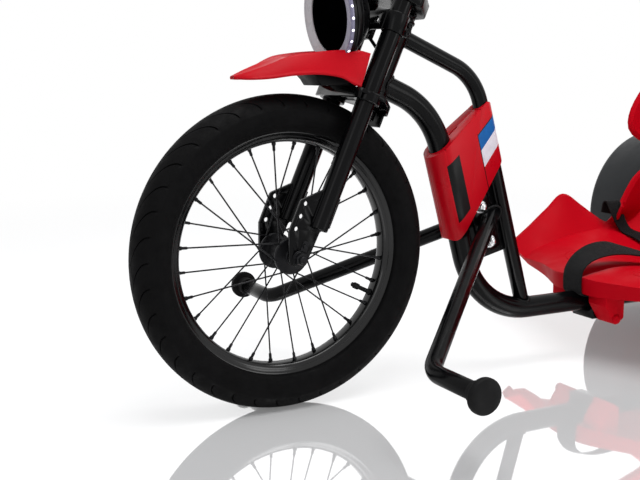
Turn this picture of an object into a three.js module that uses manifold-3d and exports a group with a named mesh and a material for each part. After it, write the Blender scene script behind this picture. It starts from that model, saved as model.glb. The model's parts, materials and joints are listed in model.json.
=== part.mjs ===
// Drift trike: a raked fork with a spoked front wheel, a low frame with a tub seat, and two wide smooth
// rear wheels.
// X points forward, Y to the rider's left and Z up. Lengths are millimetres. The floor is at Z = 0.
import * as THREE from 'three';
import { mergeVertices } from 'three/addons/utils/BufferGeometryUtils.js';
import Module from 'manifold-3d';

const wasm = await Module();
wasm.setup();

// Driving dimensions
const degree = Math.PI / 180;
const clearance = 0.3;
const overrun = 12;

const wheelbase = 1031;
const rake = 23.4 * degree;
const forkOffset = 40.1;

const tyre = { diameter: 413, width: 57, height: 55, wall: 5, beadWall: 4.4, footLift: 1.3, segments: 40 };
const rim = {
  bedRadius: 146, bedHalf: 8, wall: 3.2, seatRadius: 152.6, lipRadius: 158.5, halfWidth: 16, lip: 2.4,
  heel: 1.2,
};
const hub = {
  flangeRadius: 24, flangeHalf: 25, flangeWall: 3, coreRadius: 13, endRadius: 11, halfLength: 31,
};
const spoke = { radius: 1.15, holeRadius: 20.5, perSide: 14, rimHalf: 3, stagger: 2.2 };
const spokePhaseShares = { left: 0.25, right: 0.75 };
const valve = { radius: 3.2, capRadius: 4.4, length: 18, capLength: 12, angle: -153.5 * degree };
const axle = {
  radius: 4.8, halfLength: 61, nutRadius: 8.6, nutLength: 8.5, washerWall: 2, washerRadius: 11,
};
const tab = { length: 24, width: 9 };

const fork = { legRadius: 12.7, legWall: 2.4, legHalfSpan: 46, legOffset: 29.6, legBottom: 43, legTop: 377 };
const dropout = {
  thickness: 5, holeRadius: 3.2, cornerRadius: 7, toeRadius: 11, topFront: 96, topRear: 92, midFront: 70,
  frontReach: 27, rearReach: 12, heel: 48, holeInset: 8, holeLow: 34, holePitch: 17, holes: 3, topReach: 9,
};
const lowerCrown = {
  low: 217, high: 229.5, plate: 5, halfWidth: 62, front: 52, shoulder: 11, rear: 21, rearHalf: 24,
  corner: 12, slotLength: 15, slotWidth: 11, slotReach: 34, slotSpan: 20, tongueHalf: 15, tongueDrop: 16,
};
const upperCrown = {
  low: 355.5, thickness: 19, halfWidth: 62, front: 46, rear: 22, rearHalf: 24, corner: 12,
};
const headTube = { radius: 18, wall: 2.6, low: 241, high: 345 };
const headset = { radius: 20.5, cupHeight: 9.5, lip: 3 };
const steerer = { radius: 14.2, wall: 3, low: 206, high: 381 };

const frontTube = {
  radius: 15.9, wall: 2.4, leave: 256.7, kneeX: 227.8, kneeZ: 387.7, kneeBend: 115, footX: 311.2,
  footBend: 120, floorZ: 91, riseAhead: 106, riseBend: 90,
};
const rearTube = {
  radius: 11.1, wall: 2, leave: 326.9, kneeX: 298.4, kneeZ: 433.6, kneeBend: 80, footX: 397.6,
};
const gusset = {
  thickness: 6, topZ: 318, lowFrontZ: 168, lowRearZ: 185.5, boltUpperX: 308, boltUpperZ: 249.5,
  boltLowerX: 326, boltLowerZ: 198.5,
};
const cover = {
  noseRadius: 24.5, tailRadius: 13.6, wall: 2.6,
  frontTopX: 214, frontTopZ: 317, backTopX: 313, backTopZ: 400,
  tailTopX: 330, tailTopZ: 393, tailLowX: 345, tailLowZ: 318, frontLowX: 262, frontLowZ: 203, noseLowX: 240,
  noseLowZ: 214, slotLength: 17, slotWidth: 3.4,
};
const peg = {
  radius: 11.1, wall: 2, rootX: 337, rootZ: 241, bendX: 83, bendY: 225, barZ: 95, endY: 324, bend: 40,
  capRadius: 21.2, capDepth: 9, capDome: 2, plateWall: 5, plateHalf: 17, plateMargin: 15, plateCorner: 8,
};
const boltSize = { radius: 4, headRadius: 7.4, headHeight: 6, domeRadius: 6.2 };

const seat = {
  length: 478, halfWidth: 232, base: 104, height: 416, wall: 4, rimReach: 3.5, rimDrop: 7.5,
  lugInner: 23, lugOuter: 60, lugFront: 12, lugFrontZ: 92, lugTip: 33, lugTipZ: 61, lugRear: 49,
  lugRearZ: 71, lugTopZ: 112,
};
const strap = { width: 40, thickness: 2.6, lift: 3.1, twist: 7 };
const saddle = {
  half: 22.6, lowZ: 64, highZ: 88, frontBack: 22, rearBack: 47, rearLength: 44, rearHalf: 20,
};
const lugBolt = { radius: 3, headRadius: 6, headHeight: 4.5, back: 34, z: 70.5 };
const buckle = { length: 62, width: 58, height: 17, button: 20, buttonWidth: 26, buttonRise: 2.6 };

const rearWheel = {
  diameter: 320, width: 110, outerY: 386, sleeve: 15, shoulder: 9, webWall: 9, webOffset: 12, rimWall: 7,
  hubRadius: 34, boreRadius: 8.5, segments: 32, capRadius: 44, capDepth: 11, holeCount: 5, holeRadius: 20,
  holeReach: 84,
};
const beam = { radius: 17, rodRadius: 8, rodReach: 5, nutRadius: 13, nutLength: 7, footReach: 6.8 };
const gearbox = { width: 36, standOff: 6, radius: 46, noseRadius: 30 };
const motor = { radius: 22, length: 66, rise: 46, back: 16 };
const battery = {
  ahead: 63, length: 132, halfWidth: 112, low: 181, height: 76, lid: 11, corner: 16, tray: 3.4,
};
const button = { radius: 9, rise: 4, collar: 13, travel: 2.5, proud: 1 };
const stay = { radius: 8, y: 132, bend: 44 };

const lamp = {
  x: 66.8, z: 511.5, tilt: -6.3 * degree, radius: 63.7, ringInner: 47.6, depth: 46, backRadius: 34, wall: 3,
  lensDepth: 3, ringDepth: 6, seatDepth: 9, bracketLow: 312, bracketWall: 4, bracketHeight: 26, bandWall: 3,
  earLength: 11, earWall: 7, hoodDepth: 12,
};
const strut = { radius: 2.4, bend: 12, kneeX: -9, kneeY: 34, kneeZ: 302, footX: -4, footY: 30 };
const fender = { tipX: 69, tailX: 103, tipZ: 434, rise: 34, halfWidth: 51, wall: 3, footHalf: 26 };

const bar = {
  radius: 11.1, wall: 2, clampX: 14, clampZ: 411, flatHalf: 46, kneeX: -12, kneeY: 150, kneeZ: 560,
  endX: -72, endY: 345, endZ: 577, bend: 46,
};
const crossBar = { radius: 6.4, rise: 104 };
const stem = { half: 24, reach: 17, wall: 8, seam: 2, corner: 5 };
const grip = { radius: 16.4, length: 118, ribHeight: 1.2, ribs: 6, flange: 22, flangeWall: 4 };
const pod = {
  radius: 23, length: 26, gap: 1.2, wall: 2, seatWall: 3, switchWidth: 22, switchLength: 13, switchRise: 5,
  seatRise: 6, rockerFoot: 3.2, rockerKeel: 0.5, rockerEnd: 9, rockerMiddle: 6.4,
};

// Places that follow from the driving dimensions
const frontRadius = tyre.diameter / 2;
const rearRadius = rearWheel.diameter / 2;
const footprintShift = (wheelbase + rearRadius - frontRadius) / 2;
const axisFootX = -forkOffset * Math.cos(rake);
const axisFootZ = frontRadius - forkOffset * Math.sin(rake);
const steerMatrix = new THREE.Matrix4()
  .makeTranslation(axisFootX, 0, axisFootZ)
  .multiply(new THREE.Matrix4().makeRotationY(-rake));
const tubeLean = Math.atan2(frontTube.footX - frontTube.kneeX, frontTube.kneeZ - frontTube.floorZ);

const rimInner = rim.bedRadius * Math.cos(Math.PI / tyre.segments) - 2 * clearance;
const rimSeatHalf = rim.halfWidth - rim.lip - rim.heel;
const bead = {
  half: rimSeatHalf - clearance, radius: rim.seatRadius + clearance, top: rim.lipRadius + tyre.footLift,
};

const seatFrontShare = 0.47915;
const seatFront = seatFrontShare * wheelbase;

const gearOuter = rearWheel.outerY - rearWheel.width - gearbox.standOff;
const gearInner = gearOuter - gearbox.width;
const beamHalf = gearInner - clearance;
const rodHalf = rearWheel.outerY + beam.rodReach;

const at = (x, y, z) => new THREE.Vector3(x, y, z);
const inSteer = (x, y, z) => at(x, y, z).applyMatrix4(steerMatrix);

// Materials
function finish(color, roughness, metalness) {
  return new THREE.MeshStandardMaterial({ color, roughness, metalness });
}
const blackPaint = finish(0x111214, 0.32, 0.25);
const blackSteel = finish(0x1a1b1d, 0.42, 0.7);
const redPlastic = finish(0xc8101c, 0.34, 0);
const tyreRubber = finish(0x17181a, 0.82, 0);
const gripRubber = finish(0x131415, 0.88, 0);
const blackPlastic = finish(0x18191b, 0.5, 0);
const drumPlastic = finish(0x2b2e31, 0.45, 0);
const brightSteel = finish(0xb9bcc0, 0.28, 1);
const webbing = finish(0x161719, 0.92, 0);
const lampBlack = finish(0x050607, 0.08, 0);
const lampGlow = finish(0xe9e4f6, 0.3, 0);

// Solids from geometry
function signedVolume(position, index) {
  const a = new THREE.Vector3();
  const b = new THREE.Vector3();
  const c = new THREE.Vector3();
  let total = 0;
  for (let k = 0; k < index.length; k += 3) {
    a.fromArray(position, index[k] * 3);
    b.fromArray(position, index[k + 1] * 3);
    c.fromArray(position, index[k + 2] * 3);
    total += a.dot(b.cross(c));
  }
  return total;
}

function toSolid(geometry) {
  const plain = geometry.clone();
  plain.deleteAttribute('normal');
  plain.deleteAttribute('uv');
  const merged = mergeVertices(plain);
  const position = merged.attributes.position.array;
  const kept = [];
  for (let k = 0; k < merged.index.count; k += 3) {
    const [a, b, c] = [0, 1, 2].map((step) => merged.index.getX(k + step));
    if (a !== b && b !== c && c !== a) kept.push(a, b, c);
  }
  if (signedVolume(position, kept) < 0) kept.reverse();
  return new wasm.Manifold(new wasm.Mesh({
    numProp: 3,
    vertProperties: new Float32Array(position),
    triVerts: new Uint32Array(kept),
  }));
}

function toGeometry(solid) {
  const mesh = solid.getMesh();
  const geometry = new THREE.BufferGeometry();
  geometry.setAttribute('position', new THREE.BufferAttribute(new Float32Array(mesh.vertProperties), 3));
  geometry.setIndex(new THREE.BufferAttribute(new Uint32Array(mesh.triVerts), 1));
  geometry.computeVertexNormals();
  return geometry;
}

const join = (first, ...others) => others.reduce((sum, other) => sum.add(other), first);
const cut = (first, ...others) => others.reduce((left, other) => left.subtract(other), first);

// The largest of a solid's bodies, without the slivers a cut can leave
function mainBody(solid) {
  return solid.decompose().reduce((best, body) => (body.volume() > best.volume() ? body : best));
}

// Shapes
function ringPoints(radius, sides, turn = 0) {
  const points = [];
  for (let k = 0; k < sides; k += 1) {
    const angle = turn + (2 * Math.PI * k) / sides;
    points.push(new THREE.Vector2(radius * Math.cos(angle), radius * Math.sin(angle)));
  }
  return points;
}

const cornerReachShare = 0.48;

function roundedShape(corners, radii, segments = 2) {
  const shape = [];
  corners.forEach((corner, k) => {
    const before = corners[(k + corners.length - 1) % corners.length];
    const after = corners[(k + 1) % corners.length];
    const radius = Array.isArray(radii) ? radii[k] : radii;
    if (!radius) {
      shape.push(corner);
      return;
    }
    const toBefore = before.clone().sub(corner);
    const toAfter = after.clone().sub(corner);
    const half = Math.abs(Math.acos(toBefore.clone().normalize().dot(toAfter.clone().normalize()))) / 2;
    const room = cornerReachShare * Math.min(toBefore.length(), toAfter.length());
    const reach = Math.min(radius / Math.tan(half), room);
    const start = corner.clone().add(toBefore.setLength(reach));
    const end = corner.clone().add(toAfter.setLength(reach));
    const curve = new THREE.QuadraticBezierCurve(start, corner, end);
    shape.push(...curve.getPoints(segments));
  });
  return new THREE.Shape(shape);
}

const flat = (rows) => rows.map(([x, y]) => new THREE.Vector2(x, y));
const extrusion = (depth) => ({ depth, bevelEnabled: false, curveSegments: 6 });

function slab(shape, low, high) {
  const geometry = new THREE.ExtrudeGeometry(shape, extrusion(high - low));
  return geometry.translate(0, 0, low);
}

function sidePrism(shape, low, high) {
  const geometry = new THREE.ExtrudeGeometry(shape, extrusion(high - low));
  return geometry.rotateX(Math.PI / 2).translate(0, high, 0);
}

function block(low, high) {
  const size = high.clone().sub(low);
  const middle = high.clone().add(low).multiplyScalar(0.5);
  return new THREE.BoxGeometry(size.x, size.y, size.z).translate(middle.x, middle.y, middle.z);
}

function rod(from, to, radius, sides, endRadius = radius) {
  const line = to.clone().sub(from);
  const geometry = new THREE.CylinderGeometry(endRadius, radius, line.length(), sides);
  geometry.translate(0, line.length() / 2, 0);
  geometry.applyQuaternion(new THREE.Quaternion().setFromUnitVectors(at(0, 1, 0), line.normalize()));
  return geometry.translate(from.x, from.y, from.z);
}

function turned(profile, segments, close = true) {
  const points = flat(profile);
  if (close) points.push(points[0].clone());
  return new THREE.LatheGeometry(points, segments);
}

// A route of straight runs and round bends: one station at each end of a run and several round each bend
class Route extends THREE.Curve {
  constructor(corners, bends, stepsPerBend = 5) {
    super();
    this.points = [corners[0]];
    this.headings = [corners[1].clone().sub(corners[0]).normalize()];
    for (let k = 1; k < corners.length - 1; k += 1) {
      const arriving = corners[k].clone().sub(corners[k - 1]).normalize();
      const leaving = corners[k + 1].clone().sub(corners[k]).normalize();
      const angle = arriving.angleTo(leaving);
      const spin = arriving.clone().cross(leaving).normalize();
      const reach = bends[k - 1] * Math.tan(angle / 2);
      const start = corners[k].clone().addScaledVector(arriving, -reach);
      const inward = spin.clone().cross(arriving);
      const centre = start.clone().addScaledVector(inward, bends[k - 1]);
      for (let step = 0; step <= stepsPerBend; step += 1) {
        const turn = (angle * step) / stepsPerBend;
        const arm = start.clone().sub(centre).applyAxisAngle(spin, turn);
        this.points.push(centre.clone().add(arm));
        this.headings.push(arriving.clone().applyAxisAngle(spin, turn));
      }
    }
    this.points.push(corners[corners.length - 1]);
    this.headings.push(this.headings[this.headings.length - 1].clone());
    this.runs = this.points.length - 1;
  }

  getPointAt(share, target = new THREE.Vector3()) {
    return target.copy(this.points[Math.round(share * this.runs)]);
  }

  getTangentAt(share, target = new THREE.Vector3()) {
    return target.copy(this.headings[Math.round(share * this.runs)]);
  }
}

function along(route, shape) {
  return new THREE.ExtrudeGeometry(shape, { steps: route.runs, extrudePath: route, bevelEnabled: false });
}

function pipe(route, radius, sides) {
  return toSolid(along(route, new THREE.Shape(ringPoints(radius, sides))));
}

function hollowPipe(route, radius, wall, sides) {
  return cut(pipe(route, radius, sides), pipe(route, radius - wall, Math.round(sides / 2)));
}

// A thin shell through a grid of points, its second skin one wall below the first
function shellFromGrid(grid, wall) {
  const rows = grid.length;
  const columns = grid[0].length;
  const position = [];
  const index = [];
  const place = (skin, i, j) => (skin * rows + i) * columns + j;
  const quad = (a, b, c, d) => index.push(a, b, c, a, c, d);
  for (const skin of [0, 1]) {
    for (let i = 0; i < rows; i += 1) {
      for (let j = 0; j < columns; j += 1) {
        const ahead = grid[Math.min(i + 1, rows - 1)][j].clone().sub(grid[Math.max(i - 1, 0)][j]);
        const aside = grid[i][Math.min(j + 1, columns - 1)].clone().sub(grid[i][Math.max(j - 1, 0)]);
        const normal = ahead.cross(aside).normalize();
        position.push(...grid[i][j].clone().addScaledVector(normal, skin * wall).toArray());
      }
    }
  }
  for (let i = 0; i < rows - 1; i += 1) {
    for (let j = 0; j < columns - 1; j += 1) {
      quad(place(0, i, j), place(0, i + 1, j), place(0, i + 1, j + 1), place(0, i, j + 1));
      quad(place(1, i, j), place(1, i, j + 1), place(1, i + 1, j + 1), place(1, i + 1, j));
    }
  }
  for (let i = 0; i < rows - 1; i += 1) {
    quad(place(0, i, 0), place(1, i, 0), place(1, i + 1, 0), place(0, i + 1, 0));
    const last = columns - 1;
    quad(place(0, i + 1, last), place(1, i + 1, last), place(1, i, last), place(0, i, last));
  }
  for (let j = 0; j < columns - 1; j += 1) {
    quad(place(0, 0, j + 1), place(1, 0, j + 1), place(1, 0, j), place(0, 0, j));
    const last = rows - 1;
    quad(place(0, last, j), place(1, last, j), place(1, last, j + 1), place(0, last, j + 1));
  }
  const geometry = new THREE.BufferGeometry();
  geometry.setAttribute('position', new THREE.BufferAttribute(new Float32Array(position), 3));
  geometry.setIndex(index);
  return toSolid(geometry);
}

// The object and its groups
const trike = new THREE.Group();
trike.position.x = footprintShift;
const steering = new THREE.Group();
steering.applyMatrix4(steerMatrix);
trike.add(steering);

function put(parent, name, shape, material) {
  const geometry = shape.isBufferGeometry ? toGeometry(toSolid(shape)) : toGeometry(shape);
  const mesh = new THREE.Mesh(geometry, material);
  mesh.name = name;
  parent.add(mesh);
  return mesh;
}

// Front wheel
function tyreProfile() {
  const profile = [];
  const midRadius = frontRadius - tyre.height / 2;
  const outerSteps = 6;
  const cheekAngle = Math.acos((bead.top - midRadius) / (tyre.height / 2));
  for (let k = 0; k <= outerSteps; k += 1) {
    const angle = cheekAngle * ((2 * k) / outerSteps - 1);
    profile.push([midRadius + (tyre.height / 2) * Math.cos(angle), (tyre.width / 2) * Math.sin(angle)]);
  }
  profile.push([bead.top, bead.half], [bead.radius, bead.half]);
  profile.push([bead.radius, bead.half - tyre.beadWall]);
  const innerSteps = 3;
  for (let k = 0; k <= innerSteps; k += 1) {
    const angle = cheekAngle * (1 - (2 * k) / innerSteps);
    const shrink = (size) => size / 2 - tyre.wall;
    profile.push([midRadius + shrink(tyre.height) * Math.cos(angle), shrink(tyre.width) * Math.sin(angle)]);
  }
  profile.push([bead.radius, tyre.beadWall - bead.half], [bead.radius, -bead.half]);
  profile.push([bead.top, -bead.half]);
  return profile;
}

function rimProfile() {
  const half = [
    [rim.bedRadius, rim.bedHalf], [rim.lipRadius, rim.halfWidth], [rim.lipRadius, rim.halfWidth - rim.lip],
    [rim.seatRadius, rimSeatHalf], [rim.bedRadius + rim.wall, rim.bedHalf],
  ];
  const mirrored = half.map(([radius, y]) => [radius, -y]).reverse();
  return [...half, ...mirrored];
}

function hubWithSpokes() {
  const bore = axle.radius + clearance;
  const flangeInner = hub.flangeHalf - hub.flangeWall;
  const half = [
    [hub.coreRadius, flangeInner], [hub.flangeRadius, flangeInner], [hub.flangeRadius, hub.flangeHalf],
    [hub.endRadius, hub.flangeHalf], [hub.endRadius, hub.halfLength], [bore, hub.halfLength],
  ];
  const mirrored = half.map(([radius, y]) => [radius, -y]).reverse();
  let solid = toSolid(turned([...half, ...mirrored], 14));
  const pitch = (2 * Math.PI) / spoke.perSide;
  const flangeMiddle = hub.flangeHalf - hub.flangeWall / 2;
  for (const side of [-1, 1]) {
    for (let k = 0; k < spoke.perSide; k += 1) {
      const phase = side > 0 ? spokePhaseShares.left : spokePhaseShares.right;
      const hubAngle = valve.angle + pitch * (k + phase);
      const rimAngle = hubAngle + 2 * pitch * (k % 2 ? 1 : -1);
      const flangeY = side * (flangeMiddle + (k % 2 ? spoke.stagger : -spoke.stagger));
      const from = at(spoke.holeRadius * Math.cos(hubAngle), flangeY, spoke.holeRadius * Math.sin(hubAngle));
      const to = at(rimInner * Math.cos(rimAngle), side * spoke.rimHalf, rimInner * Math.sin(rimAngle));
      solid = solid.add(toSolid(rod(from, to, spoke.radius, 4)));
    }
  }
  return solid;
}

function valveStem() {
  const ray = (radius) => at(radius * Math.cos(valve.angle), 0, radius * Math.sin(valve.angle));
  const neck = rimInner - valve.length;
  return join(
    toSolid(rod(ray(rimInner), ray(neck - overrun / 2), valve.radius, 8)),
    toSolid(rod(ray(neck), ray(neck - valve.capLength), valve.capRadius, 8)),
  );
}

const frontWheel = new THREE.Group();
frontWheel.position.z = frontRadius;
trike.add(frontWheel);
put(frontWheel, 'front_tyre', turned(tyreProfile(), tyre.segments), tyreRubber);
put(frontWheel, 'front_rim', turned(rimProfile(), tyre.segments), blackPaint);
put(frontWheel, 'front_hub_and_spokes', hubWithSpokes(), blackSteel);
put(frontWheel, 'front_valve', valveStem(), blackPlastic);

// Fork, built on the steering axis
const axleLocal = at(forkOffset, 0, 0);

function forkLeg(side) {
  const foot = at(fork.legOffset, side * fork.legHalfSpan, fork.legBottom);
  const top = foot.clone().setZ(fork.legTop);
  const boreTop = foot.clone().setZ(fork.legTop - fork.legWall);
  const boreFoot = foot.clone().setZ(fork.legBottom - overrun);
  return cut(
    toSolid(rod(foot, top, fork.legRadius, 16)),
    toSolid(rod(boreFoot, boreTop, fork.legRadius - fork.legWall, 8)),
  );
}

function dropoutPlate(side) {
  const frontX = forkOffset + dropout.frontReach;
  const corners = flat([
    [forkOffset - dropout.toeRadius, -dropout.toeRadius],
    [forkOffset + dropout.toeRadius, -dropout.toeRadius],
    [frontX, dropout.holeLow - dropout.cornerRadius],
    [frontX, dropout.midFront],
    [fork.legOffset + dropout.topReach, dropout.topFront],
    [fork.legOffset - dropout.rearReach + fork.legWall, dropout.topRear],
    [fork.legOffset - dropout.rearReach + fork.legWall, dropout.heel],
    [forkOffset - dropout.toeRadius - fork.legWall, dropout.heel - dropout.cornerRadius],
  ]);
  const shape = roundedShape(corners, dropout.cornerRadius);
  for (let k = 0; k < dropout.holes; k += 1) {
    const hole = ringPoints(dropout.holeRadius, 8).map((point) => point.add(
      new THREE.Vector2(frontX - dropout.holeInset, dropout.holeLow + k * dropout.holePitch),
    ));
    shape.holes.push(new THREE.Path(hole));
  }
  const axlePlace = new THREE.Vector2(forkOffset, 0);
  const axleHole = ringPoints(axle.radius + clearance, 12).map((point) => point.add(axlePlace));
  shape.holes.push(new THREE.Path(axleHole));
  const middle = side * fork.legHalfSpan;
  return sidePrism(shape, middle - dropout.thickness / 2, middle + dropout.thickness / 2);
}

function forkBlade(side) {
  return join(forkLeg(side), toSolid(dropoutPlate(side)));
}

const plateFace = fork.legHalfSpan + dropout.thickness / 2;

// The front axle with a nut on a tab washer at each end, whose tongue points up the plate
function axleEnd(side) {
  const low = plateFace + clearance;
  const high = low + axle.washerWall;
  const place = (y) => axleLocal.clone().setY(side * y);
  const tongue = roundedShape(flat([
    [forkOffset - tab.width / 2, 0], [forkOffset - tab.width / 2, tab.length],
    [forkOffset + tab.width / 2, tab.length], [forkOffset + tab.width / 2, 0],
  ]), tab.width / 3);
  const [from, to] = [low, high].map((y) => side * y).sort((a, b) => a - b);
  return join(
    toSolid(sidePrism(tongue, from, to)),
    toSolid(rod(place(low), place(high), axle.washerRadius, 16)),
    toSolid(rod(place(low), place(high + axle.washerWall), axle.washerRadius - axle.washerWall, 16)),
    toSolid(rod(place(low), place(low + axle.nutLength), axle.nutRadius, 6)),
  );
}

function frontAxle() {
  const end = (side) => axleLocal.clone().setY(side * axle.halfLength);
  return join(toSolid(rod(end(-1), end(1), axle.radius, 12)), axleEnd(1), axleEnd(-1));
}

function crownOutline(crown, shoulder) {
  return roundedShape(flat([
    [crown.front, -crown.halfWidth], [crown.front, crown.halfWidth], [shoulder, crown.halfWidth],
    [-crown.rear, crown.rearHalf], [-crown.rear, -crown.rearHalf], [shoulder, -crown.halfWidth],
  ]), crown.corner);
}

function legHoles(low, high) {
  const holes = [];
  for (const side of [-1, 1]) {
    const x = fork.legOffset;
    const y = side * fork.legHalfSpan;
    holes.push(rod(at(x, y, low - overrun), at(x, y, high + overrun), fork.legRadius + clearance, 16));
  }
  return holes.map(toSolid);
}

function lowerCrownPlate() {
  const { low, high, plate } = lowerCrown;
  const outline = crownOutline(lowerCrown, lowerCrown.shoulder);
  const tray = toSolid(slab(outline, low, high));
  const inner = crownOutline({
    ...lowerCrown, front: lowerCrown.front - plate, rear: lowerCrown.rear - plate / 2,
    halfWidth: lowerCrown.halfWidth + overrun,
  }, lowerCrown.shoulder + plate);
  const hollow = toSolid(slab(inner, low - overrun, high - plate));
  const collars = [-1, 1].map((side) => {
    const y = side * fork.legHalfSpan;
    return toSolid(rod(at(fork.legOffset, y, low), at(fork.legOffset, y, high), fork.legRadius + plate, 16));
  });
  const boss = toSolid(rod(at(0, 0, low), at(0, 0, high), steerer.radius + plate / 2, 18));
  const tongue = toSolid(block(
    at(-lowerCrown.rear, -lowerCrown.tongueHalf, low - lowerCrown.tongueDrop),
    at(-lowerCrown.rear + plate / 2, lowerCrown.tongueHalf, high - plate / 2),
  ));
  const slotReach = at(lowerCrown.slotWidth / 2, lowerCrown.slotLength / 2, overrun);
  const slots = [-1, 1].map((side) => toSolid(block(
    at(lowerCrown.slotReach, side * lowerCrown.slotSpan, low).sub(slotReach),
    at(lowerCrown.slotReach, side * lowerCrown.slotSpan, high).add(slotReach),
  )));
  const pressed = cut(join(cut(tray, hollow), ...collars, boss, tongue), ...slots, ...legHoles(low, high));
  const { radius, wall } = steerer;
  const tube = toSolid(rod(at(0, 0, steerer.low), at(0, 0, steerer.high), radius, 18));
  const bore = rod(at(0, 0, steerer.low - overrun), at(0, 0, steerer.high - wall), radius - wall, 12);
  return cut(join(pressed, tube), toSolid(bore));
}

// The upper crown carries the lower half of the handlebar clamp
function upperCrownBlock() {
  const low = upperCrown.low;
  const high = low + upperCrown.thickness;
  const plate = toSolid(slab(crownOutline(upperCrown, lowerCrown.shoulder), low, high));
  const riser = toSolid(slab(stemOutline(), high - overrun / 2, bar.clampZ - stem.seam / 2));
  const holeTop = steerer.high + clearance;
  const steererHole = rod(at(0, 0, low - overrun), at(0, 0, holeTop), steerer.radius + clearance, 18);
  return cut(join(plate, riser), toSolid(steererHole), barSeat(), ...legHoles(low, high));
}

function stemOutline() {
  return roundedShape(flat([
    [bar.clampX - stem.reach, -stem.half], [bar.clampX + stem.reach, -stem.half],
    [bar.clampX + stem.reach, stem.half], [bar.clampX - stem.reach, stem.half],
  ]), stem.corner);
}

const barCorners = (side) => [
  at(bar.clampX, side * bar.flatHalf, bar.clampZ),
  at(bar.kneeX, side * bar.kneeY, bar.kneeZ), at(bar.endX, side * bar.endY, bar.endZ),
];
const barRoute = new Route(
  [...barCorners(-1).reverse(), ...barCorners(1)], [bar.bend, bar.bend, bar.bend, bar.bend], 4,
);

function barSeat() {
  return pipe(barRoute, bar.radius + clearance, 12);
}

function stemCap() {
  const top = bar.clampZ + bar.radius + stem.wall;
  return cut(toSolid(slab(stemOutline(), bar.clampZ + stem.seam / 2, top)), barSeat());
}

const sides = [[1, 'left'], [-1, 'right']];
for (const [side, name] of sides) {
  put(steering, `fork_leg_${name}`, forkBlade(side), blackPaint);
}
put(steering, 'front_axle', frontAxle(), blackSteel);
put(steering, 'lower_crown', lowerCrownPlate(), blackPaint);
put(steering, 'upper_crown', upperCrownBlock(), blackPaint);
put(steering, 'stem_cap', stemCap(), blackPaint);

// Head tube and headset, also on the steering axis
function headTubeBody() {
  const { radius, wall, low, high } = headTube;
  const outer = rod(at(0, 0, low), at(0, 0, high), radius, 18);
  const bore = rod(at(0, 0, low - overrun), at(0, 0, high + overrun), radius - wall, 18);
  return cut(toSolid(outer), toSolid(bore));
}

function headsetCup(low, high, lipLow) {
  const lipHigh = lipLow + headset.lip;
  const body = rod(at(0, 0, low), at(0, 0, high), headset.radius - headset.lip / 2, 18);
  const lip = rod(at(0, 0, lipLow), at(0, 0, lipHigh), headset.radius, 18);
  const bore = rod(at(0, 0, low - overrun), at(0, 0, high + overrun), steerer.radius + clearance, 18);
  return cut(join(toSolid(body), toSolid(lip)), toSolid(bore));
}

const cupTop = headTube.high + headset.cupHeight;
const cupFoot = headTube.low - headset.cupHeight;
put(steering, 'head_tube', headTubeBody(), blackPaint);
const cupAbove = headTube.high + clearance;
const cupBelow = headTube.low - clearance;
put(steering, 'headset_upper_cup', headsetCup(cupAbove, cupTop, cupAbove), blackSteel);
put(steering, 'headset_lower_cup', headsetCup(
  Math.max(cupFoot, lowerCrown.high + clearance), cupBelow, cupBelow - headset.lip,
), blackSteel);

// Frame tubes
const headCylinder = (radius) => toSolid(rod(at(0, 0, 0), at(0, 0, 2 * headTube.high), radius, 18)
  .applyMatrix4(steerMatrix));
const beamCentre = at(-wheelbase, 0, rearRadius);
const beamCylinder = (radius) => toSolid(rod(
  beamCentre.clone().setY(-beamHalf - overrun), beamCentre.clone().setY(beamHalf + overrun), radius, 18,
));

const frontRoute = new Route([
  inSteer(0, 0, frontTube.leave),
  at(-frontTube.kneeX, 0, frontTube.kneeZ),
  at(-frontTube.footX, 0, frontTube.floorZ),
  at(frontTube.riseAhead - wheelbase, 0, frontTube.floorZ),
  beamCentre,
], [frontTube.kneeBend, frontTube.footBend, frontTube.riseBend], 5);

const rearRoute = new Route([
  inSteer(0, 0, rearTube.leave),
  at(-rearTube.kneeX, 0, rearTube.kneeZ),
  at(-rearTube.footX, 0, frontTube.floorZ),
], [rearTube.kneeBend], 5);

function frontTubeBody() {
  return cut(
    hollowPipe(frontRoute, frontTube.radius, frontTube.wall, 14),
    headCylinder(headTube.radius + clearance),
    beamCylinder(beam.radius + clearance),
  );
}

function rearTubeBody() {
  return cut(
    hollowPipe(rearRoute, rearTube.radius, rearTube.wall, 12),
    headCylinder(headTube.radius + clearance),
    pipe(frontRoute, frontTube.radius + clearance, 14),
  );
}

// The plate between the two tubes, which carries the footrests
const rearSlope = (rearTube.footX - rearTube.kneeX) / (rearTube.kneeZ - frontTube.floorZ);
const frontSlope = (frontTube.footX - frontTube.kneeX) / (frontTube.kneeZ - frontTube.floorZ);
const frontTubeX = (z) => -frontTube.kneeX - (frontTube.kneeZ - z) * frontSlope;
const rearTubeX = (z) => -rearTube.kneeX - (rearTube.kneeZ - z) * rearSlope;

function gussetPlate() {
  const shape = new THREE.Shape(flat([
    [frontTubeX(gusset.lowFrontZ), gusset.lowFrontZ], [frontTubeX(gusset.topZ), gusset.topZ],
    [rearTubeX(gusset.topZ), gusset.topZ], [rearTubeX(gusset.lowRearZ), gusset.lowRearZ],
  ]));
  const plate = toSolid(sidePrism(shape, -gusset.thickness / 2, gusset.thickness / 2));
  return cut(
    plate,
    pipe(frontRoute, frontTube.radius + clearance, 14),
    pipe(rearRoute, rearTube.radius + clearance, 12),
    ...boltHoles(),
  );
}

const boltPlaces = [
  ['upper', -gusset.boltUpperX, gusset.boltUpperZ],
  ['lower', -gusset.boltLowerX, gusset.boltLowerZ],
];
const plateOuter = gusset.thickness / 2 + clearance + peg.plateWall;

function boltHoles() {
  const reach = plateOuter + overrun;
  const radius = boltSize.radius + clearance;
  return boltPlaces.map(([, x, z]) => toSolid(rod(at(x, -reach, z), at(x, reach, z), radius, 10)));
}

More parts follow.
